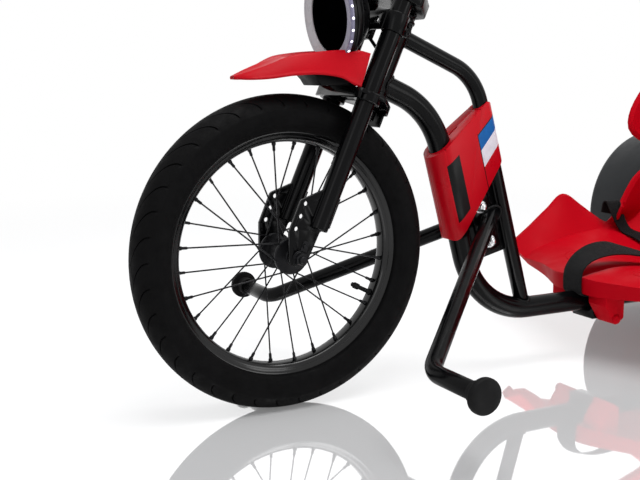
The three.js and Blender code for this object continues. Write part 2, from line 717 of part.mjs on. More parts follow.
function pegBolt(x, z) {
  const face = plateOuter + clearance;
  const dome = face + boltSize.headHeight;
  const { radius, headRadius, domeRadius } = boltSize;
  const tip = dome + radius;
  return join(
    toSolid(rod(at(x, -dome, z), at(x, dome, z), radius, 10)),
    toSolid(rod(at(x, face, z), at(x, dome, z), headRadius, 6)),
    toSolid(rod(at(x, dome, z), at(x, tip, z), domeRadius, 10, radius / 2)),
    toSolid(rod(at(x, -face, z), at(x, -dome, z), headRadius, 6)),
    toSolid(rod(at(x, -dome, z), at(x, -tip, z), domeRadius, 10, radius / 2)),
  );
}

put(trike, 'frame_front_tube', frontTubeBody(), blackPaint);
put(trike, 'frame_rear_tube', rearTubeBody(), blackPaint);
put(trike, 'gusset_plate', gussetPlate(), blackPaint);
for (const [name, x, z] of boltPlaces) put(trike, `peg_bolt_${name}`, pegBolt(x, z), brightSteel);

// Footrests: a bolted plate, a welded bar that runs down and out, and an end disc
function pegBar(side) {
  const inner = gusset.thickness / 2 + clearance;
  const [low, high] = [inner, plateOuter].map((y) => side * y).sort((a, b) => a - b);
  const [upper, lower] = boltPlaces.map(([, x, z]) => at(x, 0, z));
  const lean = upper.clone().sub(lower).normalize();
  const across = at(lean.z, 0, lean.x).multiplyScalar(peg.plateHalf);
  const line = lean.clone().multiplyScalar(peg.plateMargin);
  const topEnd = upper.clone().add(line);
  const lowEnd = lower.clone().sub(line);
  const corners = [
    [topEnd.x + across.x, topEnd.z - across.z], [topEnd.x - across.x, topEnd.z + across.z],
    [lowEnd.x - across.x, lowEnd.z + across.z], [lowEnd.x + across.x, lowEnd.z - across.z],
  ];
  const plate = toSolid(sidePrism(roundedShape(flat(corners), peg.plateCorner), low, high));
  const onBar = (y) => at(-peg.bendX, side * y, peg.barZ);
  const route = new Route([at(-peg.rootX, 0, peg.rootZ), onBar(peg.bendY), onBar(peg.endY)], [peg.bend], 5);
  const wide = 2 * peg.plateMargin + 2 * peg.plateHalf;
  const inside = side * inner;
  const bite = block(
    at(-peg.rootX - wide, Math.min(inside, -side * peg.bendY), peg.barZ),
    at(-peg.rootX + 2 * wide, Math.max(inside, -side * peg.bendY), peg.rootZ + wide),
  );
  const barTube = cut(hollowPipe(route, peg.radius, peg.wall, 12), toSolid(bite));
  return mainBody(cut(join(plate, barTube), ...boltHoles()));
}

function pegCap(side) {
  const start = peg.endY + clearance;
  const profile = [
    [0, 0], [peg.capRadius - peg.capDome, 0], [peg.capRadius, peg.capDome],
    [peg.capRadius, peg.capDepth - 2 * peg.capDome], [peg.capRadius - 2 * peg.capDome, peg.capDepth],
    [0, peg.capDepth],
  ];
  const cap = turned(profile, 16, false);
  if (side < 0) cap.rotateX(Math.PI);
  return cap.translate(-peg.bendX, side * start, peg.barZ);
}

for (const [side, name] of sides) {
  put(trike, `footrest_bar_${name}`, pegBar(side), blackPaint);
  put(trike, `footrest_cap_${name}`, pegCap(side), gripRubber);
}

// The two halves of the shroud round both tubes, split on the centre plane
function coverSection(inset) {
  const span = gapBetweenTubes();
  const nose = cover.noseRadius - inset;
  const tail = cover.tailRadius - inset;
  const points = [];
  const steps = 6;
  for (let k = 0; k <= steps; k += 1) {
    const angle = Math.PI / 2 + (Math.PI * k) / steps;
    points.push(new THREE.Vector2(nose * Math.cos(angle), nose * Math.sin(angle)));
  }
  for (let k = 0; k <= steps; k += 1) {
    const angle = -Math.PI / 2 + (Math.PI * k) / steps;
    points.push(new THREE.Vector2(span + tail * Math.cos(angle), tail * Math.sin(angle)));
  }
  return new THREE.Shape(points.map((point) => new THREE.Vector2(point.x, point.y)));
}

function gapBetweenTubes() {
  const z = gusset.topZ;
  return (frontTubeX(z) - rearTubeX(z)) * Math.cos(tubeLean);
}

// A prism that runs along the tubes, from the first tube's centre back to the second's
function alongTubes(shape) {
  const reach = cover.backTopZ - cover.frontLowZ;
  const low = at(frontTubeX(cover.frontLowZ - reach), 0, cover.frontLowZ - reach);
  const geometry = new THREE.ExtrudeGeometry(shape, extrusion(3 * reach));
  const back = at(-Math.cos(tubeLean), 0, Math.sin(tubeLean));
  const up = at(Math.sin(tubeLean), 0, Math.cos(tubeLean));
  const turn = new THREE.Matrix4().makeBasis(back, up.clone().cross(back), up);
  return geometry.applyMatrix4(turn.setPosition(low));
}

function coverOutline() {
  return roundedShape(flat([
    [-cover.frontTopX, cover.frontTopZ], [-cover.backTopX, cover.backTopZ],
    [-cover.tailTopX, cover.tailTopZ], [-cover.tailLowX, cover.tailLowZ],
    [-cover.frontLowX, cover.frontLowZ], [-cover.noseLowX, cover.noseLowZ],
  ]), cover.tailRadius / 2);
}

function coverHalf(side) {
  const [low, high] = [clearance / 2, cover.noseRadius + overrun].map((y) => side * y).sort((a, b) => a - b);
  const outline = toSolid(sidePrism(coverOutline(), low, high));
  const [hollowLow, hollowHigh] = [-overrun, cover.noseRadius].map((y) => side * y).sort((a, b) => a - b);
  const hollow = toSolid(sidePrism(insetCoverOutline(), hollowLow, hollowHigh));
  return cut(
    outline.intersect(toSolid(alongTubes(coverSection(0)))),
    hollow.intersect(toSolid(alongTubes(coverSection(cover.wall)))),
    pipe(frontRoute, frontTube.radius + clearance, 14),
    pipe(rearRoute, rearTube.radius + clearance, 12),
    toSolid(block(
      at(-cover.tailLowX, -plateOuter - clearance, cover.frontLowZ - overrun),
      at(-cover.noseLowX, plateOuter + clearance, gusset.topZ + clearance),
    )),
    coverSlot(),
  );
}

function insetCoverOutline() {
  const wall = cover.wall;
  return new THREE.Shape(flat([
    [-cover.frontTopX - wall, cover.frontTopZ - 2 * wall],
    [-cover.backTopX + wall, cover.backTopZ - 2 * wall],
    [-cover.tailTopX + wall, cover.tailTopZ - wall],
    [-cover.tailLowX + 2 * wall, cover.tailLowZ + wall],
    [-cover.frontLowX - wall / 2, cover.frontLowZ + 2 * wall],
    [-cover.noseLowX - wall, cover.noseLowZ + wall],
  ]));
}

// The small slot on the sloping top
function coverSlot() {
  const middle = at(
    -(cover.frontTopX + cover.backTopX) / 2, 0, (cover.frontTopZ + cover.backTopZ) / 2,
  );
  const geometry = new THREE.BoxGeometry(cover.slotLength, cover.slotWidth, 2 * overrun);
  geometry.rotateY(Math.atan2(cover.backTopZ - cover.frontTopZ, cover.backTopX - cover.frontTopX));
  return toSolid(geometry.translate(middle.x, middle.y, middle.z));
}

put(trike, 'tube_cover_left', coverHalf(1), redPlastic);
put(trike, 'tube_cover_right', coverHalf(-1), redPlastic);

// Seat: a thin tub lofted through stations, each from its middle out to its rolled rim.
// Each row holds shares of the length back from the front edge, of the half width and of the height:
// middle back, middle height, crease back, crease width, crease height, rim back, rim width, rim height.
const seatStationShares = [
  [0.006, 0.000, 0.132, 0.80, 0.018, 0.142, 0.955, 0.050],
  [0.000, 0.062, 0.120, 0.81, 0.045, 0.116, 0.985, 0.086],
  [0.060, 0.074, 0.170, 0.82, 0.076, 0.200, 0.990, 0.146],
  [0.160, 0.086, 0.240, 0.82, 0.098, 0.290, 0.995, 0.222],
  [0.270, 0.078, 0.330, 0.82, 0.120, 0.368, 1.000, 0.290],
  [0.420, 0.052, 0.440, 0.81, 0.138, 0.440, 0.950, 0.226],
  [0.530, 0.036, 0.530, 0.80, 0.146, 0.520, 0.870, 0.165],
  [0.630, 0.034, 0.600, 0.76, 0.168, 0.545, 0.790, 0.185],
  [0.712, 0.082, 0.650, 0.72, 0.236, 0.535, 0.735, 0.216],
  [0.762, 0.220, 0.700, 0.68, 0.340, 0.600, 0.715, 0.352],
  [0.806, 0.380, 0.752, 0.63, 0.462, 0.695, 0.660, 0.462],
  [0.862, 0.560, 0.790, 0.67, 0.585, 0.580, 0.745, 0.573],
  [0.910, 0.720, 0.840, 0.66, 0.735, 0.640, 0.745, 0.735],
  [0.955, 0.870, 0.900, 0.58, 0.880, 0.790, 0.650, 0.890],
  [0.988, 0.985, 0.968, 0.40, 0.985, 0.940, 0.460, 0.985],
  [1.000, 0.975, 0.985, 0.38, 0.965, 0.965, 0.440, 0.960],
];
// How far out the inner and outer edges of the thigh hollow lie, and how deep the middle groove is
const thighShares = [0.07, 0.26, 0.62];
const grooveShares = [0.02, 0.034, 0.030, 0.018, 0.008];

function seatPoint(backShare, acrossShare, upShare) {
  const back = seatFront + backShare * seat.length;
  return at(-back, acrossShare * seat.halfWidth, seat.base + upShare * seat.height);
}

function seatRow(shares, station) {
  const [middleBack, middleUp, creaseBack, creaseAcross, creaseUp, rimBack, rimAcross, rimUp] = shares;
  const groove = grooveShares[station] || 0;
  const half = [seatPoint(middleBack, 0, middleUp - groove)];
  for (const share of thighShares) {
    const lift = share * share;
    const back = middleBack + (creaseBack - middleBack) * (share < thighShares[2] ? lift : share);
    const up = middleUp + (creaseUp - middleUp) * lift;
    half.push(seatPoint(back, share * creaseAcross, up));
  }
  half.push(seatPoint(creaseBack, creaseAcross, creaseUp), seatPoint(rimBack, rimAcross, rimUp));
  return half;
}

// Turns each half row's outer edge over, square to the rim and to the wing's own surface
function withEdge(half, row, halves) {
  const [crease, edge] = half.slice(-2);
  const next = halves[Math.min(row + 1, halves.length - 1)].at(-1);
  const ahead = next.clone().sub(halves[Math.max(row - 1, 0)].at(-1)).normalize();
  const normal = ahead.clone().cross(edge.clone().sub(crease)).normalize();
  if (normal.x + normal.z < 0) normal.negate();
  const outward = normal.clone().cross(ahead).normalize();
  if (outward.dot(edge.clone().sub(crease)) < 0) outward.negate();
  const turned = edge.clone().addScaledVector(outward, seat.rimReach).addScaledVector(normal, -seat.rimDrop);
  const side = [...half, turned];
  const other = side.slice(1).reverse().map((point) => point.clone().setY(-point.y));
  return [...other, ...side];
}

function seatLug(side) {
  const [low, high] = [seat.lugInner, seat.lugOuter].map((y) => side * y).sort((a, b) => a - b);
  return toSolid(sidePrism(new THREE.Shape(flat([
    [-seatFront - seat.lugFront, seat.lugTopZ], [-seatFront - seat.lugFront, seat.lugFrontZ],
    [-seatFront - seat.lugTip, seat.lugTipZ], [-seatFront - seat.lugRear, seat.lugRearZ],
    [-seatFront - seat.lugRear, seat.lugTopZ],
  ])), low, high));
}

const seatGrid = seatStationShares.map(seatRow).map(withEdge);

function seatShell() {
  return cut(
    join(shellFromGrid(seatGrid, seat.wall), seatLug(1), seatLug(-1)),
    pipe(frontRoute, frontTube.radius + clearance, 14),
    toSolid(lugBoltRod(lugBolt.radius + clearance, seat.lugOuter + overrun)),
  );
}

// A point on the seat's upper skin, by the share of its rows passed from the front and the distance from
// the middle, raised by a lift
function seatSkin(rowShare, y, lift) {
  const station = rowShare * (seatGrid.length - 1);
  const onRow = (row, across) => {
    const next = row.findIndex((point, k) => k > 0 && point.y >= across);
    const span = row[next].y - row[next - 1].y;
    return row[next - 1].clone().lerp(row[next], (across - row[next - 1].y) / span);
  };
  const before = Math.floor(station);
  const [near, far] = [onRow(seatGrid[before], y), onRow(seatGrid[before + 1], y)];
  const beside = onRow(seatGrid[before], y - seat.wall);
  const normal = beside.sub(near).cross(far.clone().sub(near)).normalize();
  if (normal.dot(at(1, 0, 1)) < 0) normal.negate();
  return near.lerp(far, station - before).addScaledVector(normal, lift);
}

// The same for a place on the pan, given by its distance behind the front axle
const panShares = { first: 0.07, last: 0.5 };
const panSteps = 140;

function panSkin(back, y, lift) {
  let best = seatSkin(panShares.first, y, lift);
  for (let k = 1; k <= panSteps; k += 1) {
    const rowShare = panShares.first + (panShares.last - panShares.first) * k / panSteps;
    const point = seatSkin(rowShare, y, lift);
    if (Math.abs(point.x + back) < Math.abs(best.x + back)) best = point;
  }
  return best.setX(-back);
}

const backAt = (share) => seatFront + share * seat.length;

function lugBoltRod(radius, reach) {
  const x = -seatFront - lugBolt.back;
  return rod(at(x, -reach, lugBolt.z), at(x, reach, lugBolt.z), radius, 10);
}

function lugThroughBolt() {
  const face = seat.lugOuter + clearance;
  const x = -seatFront - lugBolt.back;
  const onBolt = (y) => at(x, y, lugBolt.z);
  const head = (side) => toSolid(rod(
    onBolt(side * face), onBolt(side * (face + lugBolt.headHeight)), lugBolt.headRadius, 6,
  ));
  return join(toSolid(lugBoltRod(lugBolt.radius, face + lugBolt.headHeight / 2)), head(1), head(-1));
}

// The bracket under the tube that ties the two lugs, and the saddle under the back of the seat
function frontSaddle() {
  const front = -seatFront - saddle.frontBack;
  const rear = -seatFront - saddle.rearBack;
  return cut(
    toSolid(block(at(rear, -saddle.half, saddle.lowZ), at(front, saddle.half, saddle.highZ))),
    pipe(frontRoute, frontTube.radius + clearance, 14),
    toSolid(lugBoltRod(lugBolt.radius + clearance, seat.lugOuter)),
  );
}

const rearSaddleShare = 0.52;

function rearSaddle() {
  const front = backAt(rearSaddleShare);
  const rear = front + saddle.rearLength;
  const corners = [front, (front + rear) / 2, rear].map((back) => panSkin(back, 0, 0).z);
  const top = Math.min(...corners) - seat.wall - clearance;
  return cut(
    toSolid(block(at(-rear, -saddle.rearHalf, frontTube.floorZ), at(-front, saddle.rearHalf, top))),
    pipe(frontRoute, frontTube.radius + clearance, 14),
  );
}

put(trike, 'seat_shell', seatShell(), redPlastic);
put(trike, 'seat_front_bracket', frontSaddle(), blackPaint);
put(trike, 'seat_rear_bracket', rearSaddle(), blackPaint);
put(trike, 'seat_lug_bolt', lugThroughBolt(), blackSteel);

// Harness: flat bands through pairs of edge points
function band(rows) {
  return shellFromGrid(rows, strap.thickness);
}

function onSide(rows, side) {
  if (side > 0) return rows;
  return rows.map((row) => row.map((point) => point.clone().setY(-point.y)).reverse());
}

const buckleShare = 0.54;
const buckleBack = backAt(buckleShare);
const buckleFront = buckleBack - buckle.length / 2;
const buckleRear = buckleBack + buckle.length / 2;
const underBuckle = [buckleFront, buckleBack, buckleRear].flatMap(
  (back) => [0, buckle.width / 2].map((y) => panSkin(back, y, 0).z),
);
const buckleLow = Math.max(...underBuckle) + 3 * clearance;
const buckleMiddle = buckleLow + buckle.height / 2;

// Each row holds shares of the seat's length and height and of the strap's twist
const crotchShares = [
  [0.029, 0.137, 0.43], [0.088, 0.156, 0.86], [0.159, 0.159, 1], [0.234, 0.139, 0.71], [0.335, 0.111, 0.29],
];

function crotchStrap() {
  const front = seatFront - strap.lift;
  const rows = [
    [front, frontTube.floorZ + frontTube.radius + clearance, 0],
    [front, seat.lugTopZ + strap.width / 2, 0],
    ...crotchShares.map(([back, up, twist]) => [
      backAt(back), seat.base + up * seat.height, twist * strap.twist,
    ]),
    [buckleFront - buckle.height, buckleMiddle, 0],
    [buckleFront - clearance, buckleMiddle, 0],
  ];
  return band(rows.map(([back, z, dip]) => [
    at(-back, -strap.width / 2, z + dip), at(-back, strap.width / 2, z - dip),
  ]));
}

// Where a lap strap crosses the pan: shares of the length back, of the half width out and of its lift
const lapOnPanShares = [[0.53, 0.302, 1.9], [0.52, 0.431, 1.45], [0.5, 0.603, 1.16], [0.492, 0.716, 1]];
// Where it folds over beside the wing: shares of the length back, of the half width out and of the height up
const lapFoldShares = [
  [0.435, 0.517, 0.759, 0.219], [0.435, 0.517, 0.793, 0.248],
  [0.435, 0.517, 0.823, 0.245], [0.435, 0.517, 0.838, 0.200],
];

function lapStrap(side) {
  const half = strap.width / 2;
  const start = buckle.width / 2 + clearance;
  const level = (y) => [at(-buckleBack + half, y, buckleMiddle), at(-buckleBack - half, y, buckleMiddle)];
  const onPan = lapOnPanShares.map(([back, out, lift]) => [-half, half].map(
    (reach) => panSkin(backAt(back) + reach, out * seat.halfWidth, lift * strap.lift),
  ));
  const folded = lapFoldShares.map(
    ([front, rear, out, up]) => [seatPoint(front, out, up), seatPoint(rear, out, up)],
  );
  return band(onSide([level(start), level(start + half / 2), ...onPan, ...folded], side));
}

// The rows of the seat that a shoulder strap lies on, from the top down, and where it leaves the backrest
const shoulderRowShares = [0.84, 0.8, 0.76, 0.72, 0.68, 0.64, 0.6];
const shoulderShares = { inner: 0.155, leaveBack: 0.678, leaveOut: 0.069, leaveUp: 0.142, endOut: 0.026 };

function shoulderStrap(side) {
  const inner = shoulderShares.inner * seat.halfWidth;
  const rows = shoulderRowShares.map((share) => [
    seatSkin(share, inner, strap.lift), seatSkin(share, inner + strap.width, strap.lift),
  ]);
  const leave = seatPoint(shoulderShares.leaveBack, shoulderShares.leaveOut, shoulderShares.leaveUp);
  rows.push([leave, leave.clone().add(at(0, strap.width, 0))]);
  const endOut = shoulderShares.endOut * seat.halfWidth;
  for (const gap of [buckle.height / 2, clearance]) {
    const end = at(-buckleRear - gap, endOut, buckleMiddle);
    rows.push([end, end.clone().add(at(0, strap.width / 2, 0))]);
  }
  return band(onSide(rows, side));
}

function buckleBody() {
  const shape = roundedShape(flat([
    [-buckleRear, -buckle.width / 2], [-buckleFront, -buckle.width / 2],
    [-buckleFront, buckle.width / 2], [-buckleRear, buckle.width / 2],
  ]), buckle.width / 4);
  const reach = at(buckle.button / 2 + clearance, buckle.buttonWidth / 2 + clearance, 0);
  const pocket = block(
    at(-buckleBack, 0, buckleLow + buckle.height / 3).sub(reach),
    at(-buckleBack, 0, buckleLow + buckle.height + overrun).add(reach),
  );
  return cut(toSolid(slab(shape, buckleLow, buckleLow + buckle.height)), toSolid(pocket));
}

function buckleButton() {
  const top = buckleLow + buckle.height + buckle.buttonRise;
  return block(
    at(-buckleBack - buckle.button / 2, -buckle.buttonWidth / 2, top - buckle.height / 2),
    at(-buckleBack + buckle.button / 2, buckle.buttonWidth / 2, top),
  );
}

put(trike, 'crotch_strap', crotchStrap(), webbing);
for (const [side, name] of sides) {
  put(trike, `lap_strap_${name}`, lapStrap(side), webbing);
  put(trike, `shoulder_strap_${name}`, shoulderStrap(side), webbing);
}
put(trike, 'buckle', buckleBody(), blackPlastic);
put(trike, 'buckle_button', buckleButton(), redPlastic);

// Rear wheels: a smooth hard sleeve on a moulded wheel
function sleeveProfile() {
  const half = rearWheel.width / 2;
  const bevel = rearWheel.shoulder;
  const inner = rearRadius - rearWheel.sleeve;
  return [
    [inner, -half + bevel], [inner + bevel / 2, -half],
    [rearRadius - bevel, -half], [rearRadius, -half + bevel],
    [rearRadius, half - bevel], [rearRadius - bevel, half], [inner + bevel / 2, half], [inner, half - bevel],
  ];
}

function moulding() {
  const half = rearWheel.width / 2 - rearWheel.shoulder;
  const outer = (rearRadius - rearWheel.sleeve) - clearance;
  const inner = outer - rearWheel.rimWall;
  const [webLow, webHigh] = [rearWheel.webOffset, rearWheel.webOffset + rearWheel.webWall];
  const profile = [
    [outer, -half], [outer, half], [inner, half], [inner, webHigh], [rearWheel.hubRadius, webHigh],
    [rearWheel.hubRadius, half], [rearWheel.boreRadius, half], [rearWheel.boreRadius, -half],
    [rearWheel.hubRadius, -half], [rearWheel.hubRadius, webLow], [inner, webLow], [inner, -half],
  ];
  const holes = [];
  for (let k = 0; k < rearWheel.holeCount; k += 1) {
    const angle = (2 * Math.PI * k) / rearWheel.holeCount;
    const place = (y) => at(rearWheel.holeReach * Math.cos(angle), y, rearWheel.holeReach * Math.sin(angle));
    holes.push(toSolid(rod(place(webLow - overrun), place(webHigh + overrun), rearWheel.holeRadius, 12)));
  }
  return cut(toSolid(turned(profile, rearWheel.segments)), ...holes);
}

function hubCap() {
  const low = rearWheel.width / 2 - rearWheel.shoulder + clearance;
  const high = rearWheel.width / 2 + rearWheel.capDepth;
  const radius = rearWheel.capRadius;
  const cap = [
    [0, high - rearWheel.webWall / 3], [radius / 2, high - rearWheel.webWall / 3], [radius / 2, low],
    [radius, low], [radius, high - rearWheel.shoulder / 2],
    [radius - rearWheel.shoulder / 2, high], [0, high],
  ];
  return turned(cap, 16, false);
}

for (const [side, name] of sides) {
  const wheel = new THREE.Group();
  wheel.position.set(-wheelbase, side * (rearWheel.outerY - rearWheel.width / 2), rearRadius);
  if (side < 0) wheel.rotation.x = Math.PI;
  trike.add(wheel);
  put(wheel, `rear_tyre_${name}`, turned(sleeveProfile(), rearWheel.segments), drumPlastic);
  put(wheel, `rear_wheel_${name}`, moulding(), blackPlastic);
  put(wheel, `rear_hub_cap_${name}`, hubCap(), blackPlastic);
}

// Rear axle beam with its fixed rod, and a geared motor at each end
function axleBeam() {
  const end = (y) => beamCentre.clone().setY(y);
  const parts = [
    toSolid(rod(end(-beamHalf), end(beamHalf), beam.radius, 18)),
    toSolid(rod(end(-rodHalf), end(rodHalf), beam.rodRadius, 16)),
  ];
  const nutStart = rearWheel.outerY - rearWheel.shoulder + clearance;
  const nutEnd = nutStart + beam.nutLength;
  for (const [side] of sides) {
    parts.push(toSolid(rod(end(side * nutStart), end(side * nutEnd), beam.nutRadius, 6)));
  }
  return join(...parts);
}

const motorX = -wheelbase + motor.back;
const motorZ = rearRadius + motor.rise;

function gearMotor(side) {
  const { radius, noseRadius } = gearbox;
  const outline = roundedShape(flat([
    [-wheelbase - radius, rearRadius - radius], [-wheelbase + radius, rearRadius - radius],
    [motorX + radius - motor.back / 2, motorZ + noseRadius], [motorX - radius, motorZ + noseRadius],
  ]), noseRadius);
  const [low, high] = [gearInner, gearOuter].map((y) => side * y).sort((a, b) => a - b);
  const axis = (y) => beamCentre.clone().setY(side * y);
  const rodHole = rod(axis(gearInner - overrun), axis(gearOuter + overrun), beam.rodRadius + clearance, 16);
  const nose = rod(axis(gearInner), axis(gearOuter + motor.back / 4), noseRadius, 20);
  const onMotor = (y) => at(motorX, side * y, motorZ);
  const canEnd = gearInner - motor.length;
  const can = rod(onMotor(gearOuter), onMotor(canEnd), motor.radius, 20);
  const endCap = rod(onMotor(canEnd + overrun), onMotor(canEnd - motor.back / 4), motor.radius / 2, 12);
  return cut(
    join(toSolid(sidePrism(outline, low, high)), toSolid(nose), toSolid(can), toSolid(endCap)),
    toSolid(rodHole),
  );
}

put(trike, 'rear_axle_beam', axleBeam(), blackPaint);
for (const [side, name] of sides) put(trike, `gear_motor_${name}`, gearMotor(side), blackPlastic);

// Battery: a tray clamped on the beam, a case, a lid and a push button
const batteryFront = wheelbase - battery.ahead;
const batteryRear = batteryFront + battery.length;

function batteryOutline(inset) {
  return roundedShape(flat([
    [-batteryRear + inset, -battery.halfWidth + inset], [-batteryFront - inset, -battery.halfWidth + inset],
    [-batteryFront - inset, battery.halfWidth - inset], [-batteryRear + inset, battery.halfWidth - inset],
  ]), battery.corner);
}

function batteryTray() {
  const high = battery.low - clearance;
  const low = high - battery.tray;
  const feet = sides.map(([side]) => {
    const y = side * (battery.halfWidth - 2 * battery.corner);
    const reach = beam.radius + beam.footReach;
    return toSolid(block(
      at(-wheelbase - reach, y - battery.corner, rearRadius),
      at(-wheelbase + reach, y + battery.corner, high),
    ));
  });
  const shelf = toSolid(slab(batteryOutline(battery.tray), low, high));
  return cut(join(shelf, ...feet), beamCylinder(beam.radius + clearance));
}

function batteryCase() {
  const top = battery.low + battery.height;
  const wall = battery.tray;
  const shell = cut(
    toSolid(slab(batteryOutline(0), battery.low, top)),
    toSolid(slab(batteryOutline(wall), battery.low + wall, top + overrun)),
  );
  const behind = (reach) => at(-batteryRear - reach, 0, battery.low + battery.height / 2);
  const collar = rod(behind(-wall / 2), behind(button.rise), button.collar, 20);
  const bore = rod(behind(-overrun), behind(overrun), button.radius + clearance, 16);
  return cut(join(shell, toSolid(collar)), toSolid(bore));
}

function batteryLid() {
  const low = battery.low + battery.height + clearance;
  const high = low + battery.lid;
  const shelf = high - battery.tray;
  const rimStep = slab(batteryOutline(-battery.tray / 2), low, shelf);
  const crown = slab(batteryOutline(battery.tray), shelf - clearance, high);
  return join(toSolid(rimStep), toSolid(crown));
}

function powerButton() {
  const z = battery.low + battery.height / 2;
  const out = batteryRear + button.rise + button.travel + button.proud;
  return rod(at(-batteryRear + battery.tray, 0, z), at(-out, 0, z), button.radius, 16);
}

put(trike, 'battery_tray', batteryTray(), blackPaint);
put(trike, 'battery_case', batteryCase(), blackPlastic);
put(trike, 'battery_lid', batteryLid(), blackPlastic);
put(trike, 'power_button', powerButton(), redPlastic);

// One bent tube from the beam up behind the backrest and down again, under a row of the seat
const hoopRowShare = 0.7133;

function backHoop() {
  const foot = (side) => beamCentre.clone().setY(side * stay.y);
  const behind = -seat.wall - stay.radius - 2 * clearance;
  const top = (side) => seatSkin(hoopRowShare, 0, behind).setY(side * stay.y);
  const route = new Route([foot(1), top(1), top(-1), foot(-1)], [stay.bend, stay.bend], 5);
  return cut(pipe(route, stay.radius, 10), beamCylinder(beam.radius + clearance));
}

put(trike, 'seat_back_hoop', backHoop(), blackPaint);

// Headlight, facing forward and a little down
const lampGroup = new THREE.Group();
lampGroup.position.set(-lamp.x, 0, lamp.z);
lampGroup.rotation.y = -lamp.tilt;
trike.add(lampGroup);
const facing = (geometry) => geometry.rotateZ(-Math.PI / 2);

// The room the lamp takes up, a little larger all round
function lampRoom() {
  const gap = 2 * clearance;
  const back = -lamp.depth - gap;
  const room = facing(turned([
    [0, back], [lamp.backRadius + gap, back], [lamp.radius + gap, -lamp.hoodDepth - gap],
    [lamp.radius + gap, lamp.wall + gap], [0, lamp.wall + gap],
  ], 24, false));
  lampGroup.updateMatrix();
  return toSolid(room.applyMatrix4(lampGroup.matrix));
}

function lampHousing() {
  const back = -lamp.depth;
  return facing(turned([
    [0, back], [lamp.backRadius, back], [lamp.radius, -lamp.hoodDepth], [lamp.radius, lamp.wall],
    [lamp.radius - lamp.wall, lamp.wall], [lamp.radius - lamp.wall, -lamp.hoodDepth],
    [lamp.backRadius - lamp.wall / 2, back + lamp.wall], [0, back + lamp.wall],
  ], 24, false));
}

function lampRing() {
  const outer = lamp.radius - lamp.wall - clearance;
  const inner = lamp.ringInner;
  const back = -lamp.ringDepth;
  return facing(turned([
    [inner, back], [outer, back], [outer, 0], [(outer + inner) / 2, lamp.wall / 2], [inner, 0],
  ], 24));
}

function lampLens() {
  const radius = lamp.ringInner - clearance;
  const profile = [[0, -lamp.seatDepth], [radius, -lamp.seatDepth], [radius, -lamp.lensDepth], [0, 0]];
  return facing(turned(profile, 24, false));
}

put(lampGroup, 'headlight_housing', lampHousing(), blackPlastic);
put(lampGroup, 'headlight_ring', lampRing(), lampGlow);
put(lampGroup, 'headlight_lens', lampLens(), lampBlack);

// A thin bent strut from the right-hand clamp down to the back of the lower crown
function bracketStrut() {
  const startX = fork.legOffset - fork.legRadius - lamp.earLength / 2;
  const start = at(startX, -fork.legHalfSpan, lamp.bracketLow + lamp.earWall);
  const knee = at(strut.kneeX, -strut.kneeY, strut.kneeZ);
  const foot = at(strut.footX, -strut.footY, lowerCrown.high + clearance);
  return pipe(new Route([start, knee, foot], [strut.bend], 3), strut.radius, 8);
}

function lampBracket() {
  const low = lamp.bracketLow;
  const high = low + lamp.bracketHeight;
  const face = fork.legOffset + fork.legRadius + clearance;
  const bands = sides.map(([side]) => {
    const place = (z) => at(fork.legOffset, side * fork.legHalfSpan, z);
    const ring = toSolid(rod(place(low), place(high), fork.legRadius + lamp.bandWall, 16));
    const back = at(-fork.legRadius - lamp.earLength, -lamp.earWall / 2, lamp.bandWall);
    const front = at(0, lamp.earWall / 2, -lamp.bandWall);
    const ear = toSolid(block(place(low).add(back), place(high).add(front)));
    return join(ring, ear);
  });
  const plate = toSolid(block(
    at(face, -fork.legHalfSpan, low), at(face + lamp.bracketWall, fork.legHalfSpan, high),
  ));
  const backCentre = at(-lamp.hoodDepth, 0, 0).applyAxisAngle(at(0, 1, 0), -lamp.tilt)
    .add(at(-lamp.x, 0, lamp.z)).applyMatrix4(steerMatrix.clone().invert());
  const bossFoot = at(face, 0, backCentre.z - lamp.bracketWall);
  const boss = toSolid(rod(bossFoot, backCentre, lamp.backRadius / 3, 12));
  const room = lampRoom().transform(steerMatrix.clone().invert().toArray());
  return cut(join(...bands, plate, boss, bracketStrut()), ...legHoles(low, high), room);
}

put(steering, 'headlight_bracket', lampBracket(), blackPaint);

// Mudguard: a beak lofted through stations, each from its crest out to its edge.
// Each row holds shares of the length, of the rise over the tip and of the half width:
// crest back, crest up, ridge across, ridge up, edge back, edge across, edge up.
const fenderStationShares = [
  [0.00, 0.05, 0.08, 0.03, 0.00, 0.12, -0.03],
  [0.10, 0.28, 0.26, 0.19, 0.10, 0.42, -0.05],
  [0.23, 0.53, 0.42, 0.43, 0.23, 0.64, -0.01],
  [0.39, 0.74, 0.56, 0.76, 0.39, 0.80, 0.10],
  [0.57, 0.50, 0.68, 0.90, 0.57, 0.90, 0.14],
  [0.74, 0.24, 0.78, 0.97, 0.74, 0.96, 0.03],
  [0.89, 0.14, 0.86, 0.98, 0.84, 1.00, -0.22],
  [1.00, 0.12, 0.90, 0.86, 0.905, 1.00, -0.36],
];

function fenderBody() {
  const length = fender.tipX + fender.tailX;
  const place = (back, across, up) => at(
    fender.tipX - back * length, across * fender.halfWidth, fender.tipZ + up * fender.rise,
  );
  const grid = fenderStationShares.map((shares) => {
    const [crestBack, crestUp, ridgeAcross, ridgeUp, edgeBack, edgeAcross, edgeUp] = shares;
    const half = [place(crestBack, 0, crestUp), place(crestBack, ridgeAcross, ridgeUp)];
    half.push(place(edgeBack, edgeAcross, edgeUp));
    const other = half.slice(1).reverse().map((point) => point.clone().setY(-point.y));
    return [...other, ...half];
  });
  return cut(join(shellFromGrid(grid, fender.wall), toSolid(fenderFoot())), lampRoom());
}

// The block under it that stands on the lower crown: shares of the length back from the tip and of the rise
const fenderFootShares = [
  [0.552, 0.235], [0.622, -0.118], [0.651, -0.335], [0.860, -0.326],
  [0.936, -0.479], [0.971, 0.059], [0.738, 0.171], [0.576, 0.441],
];

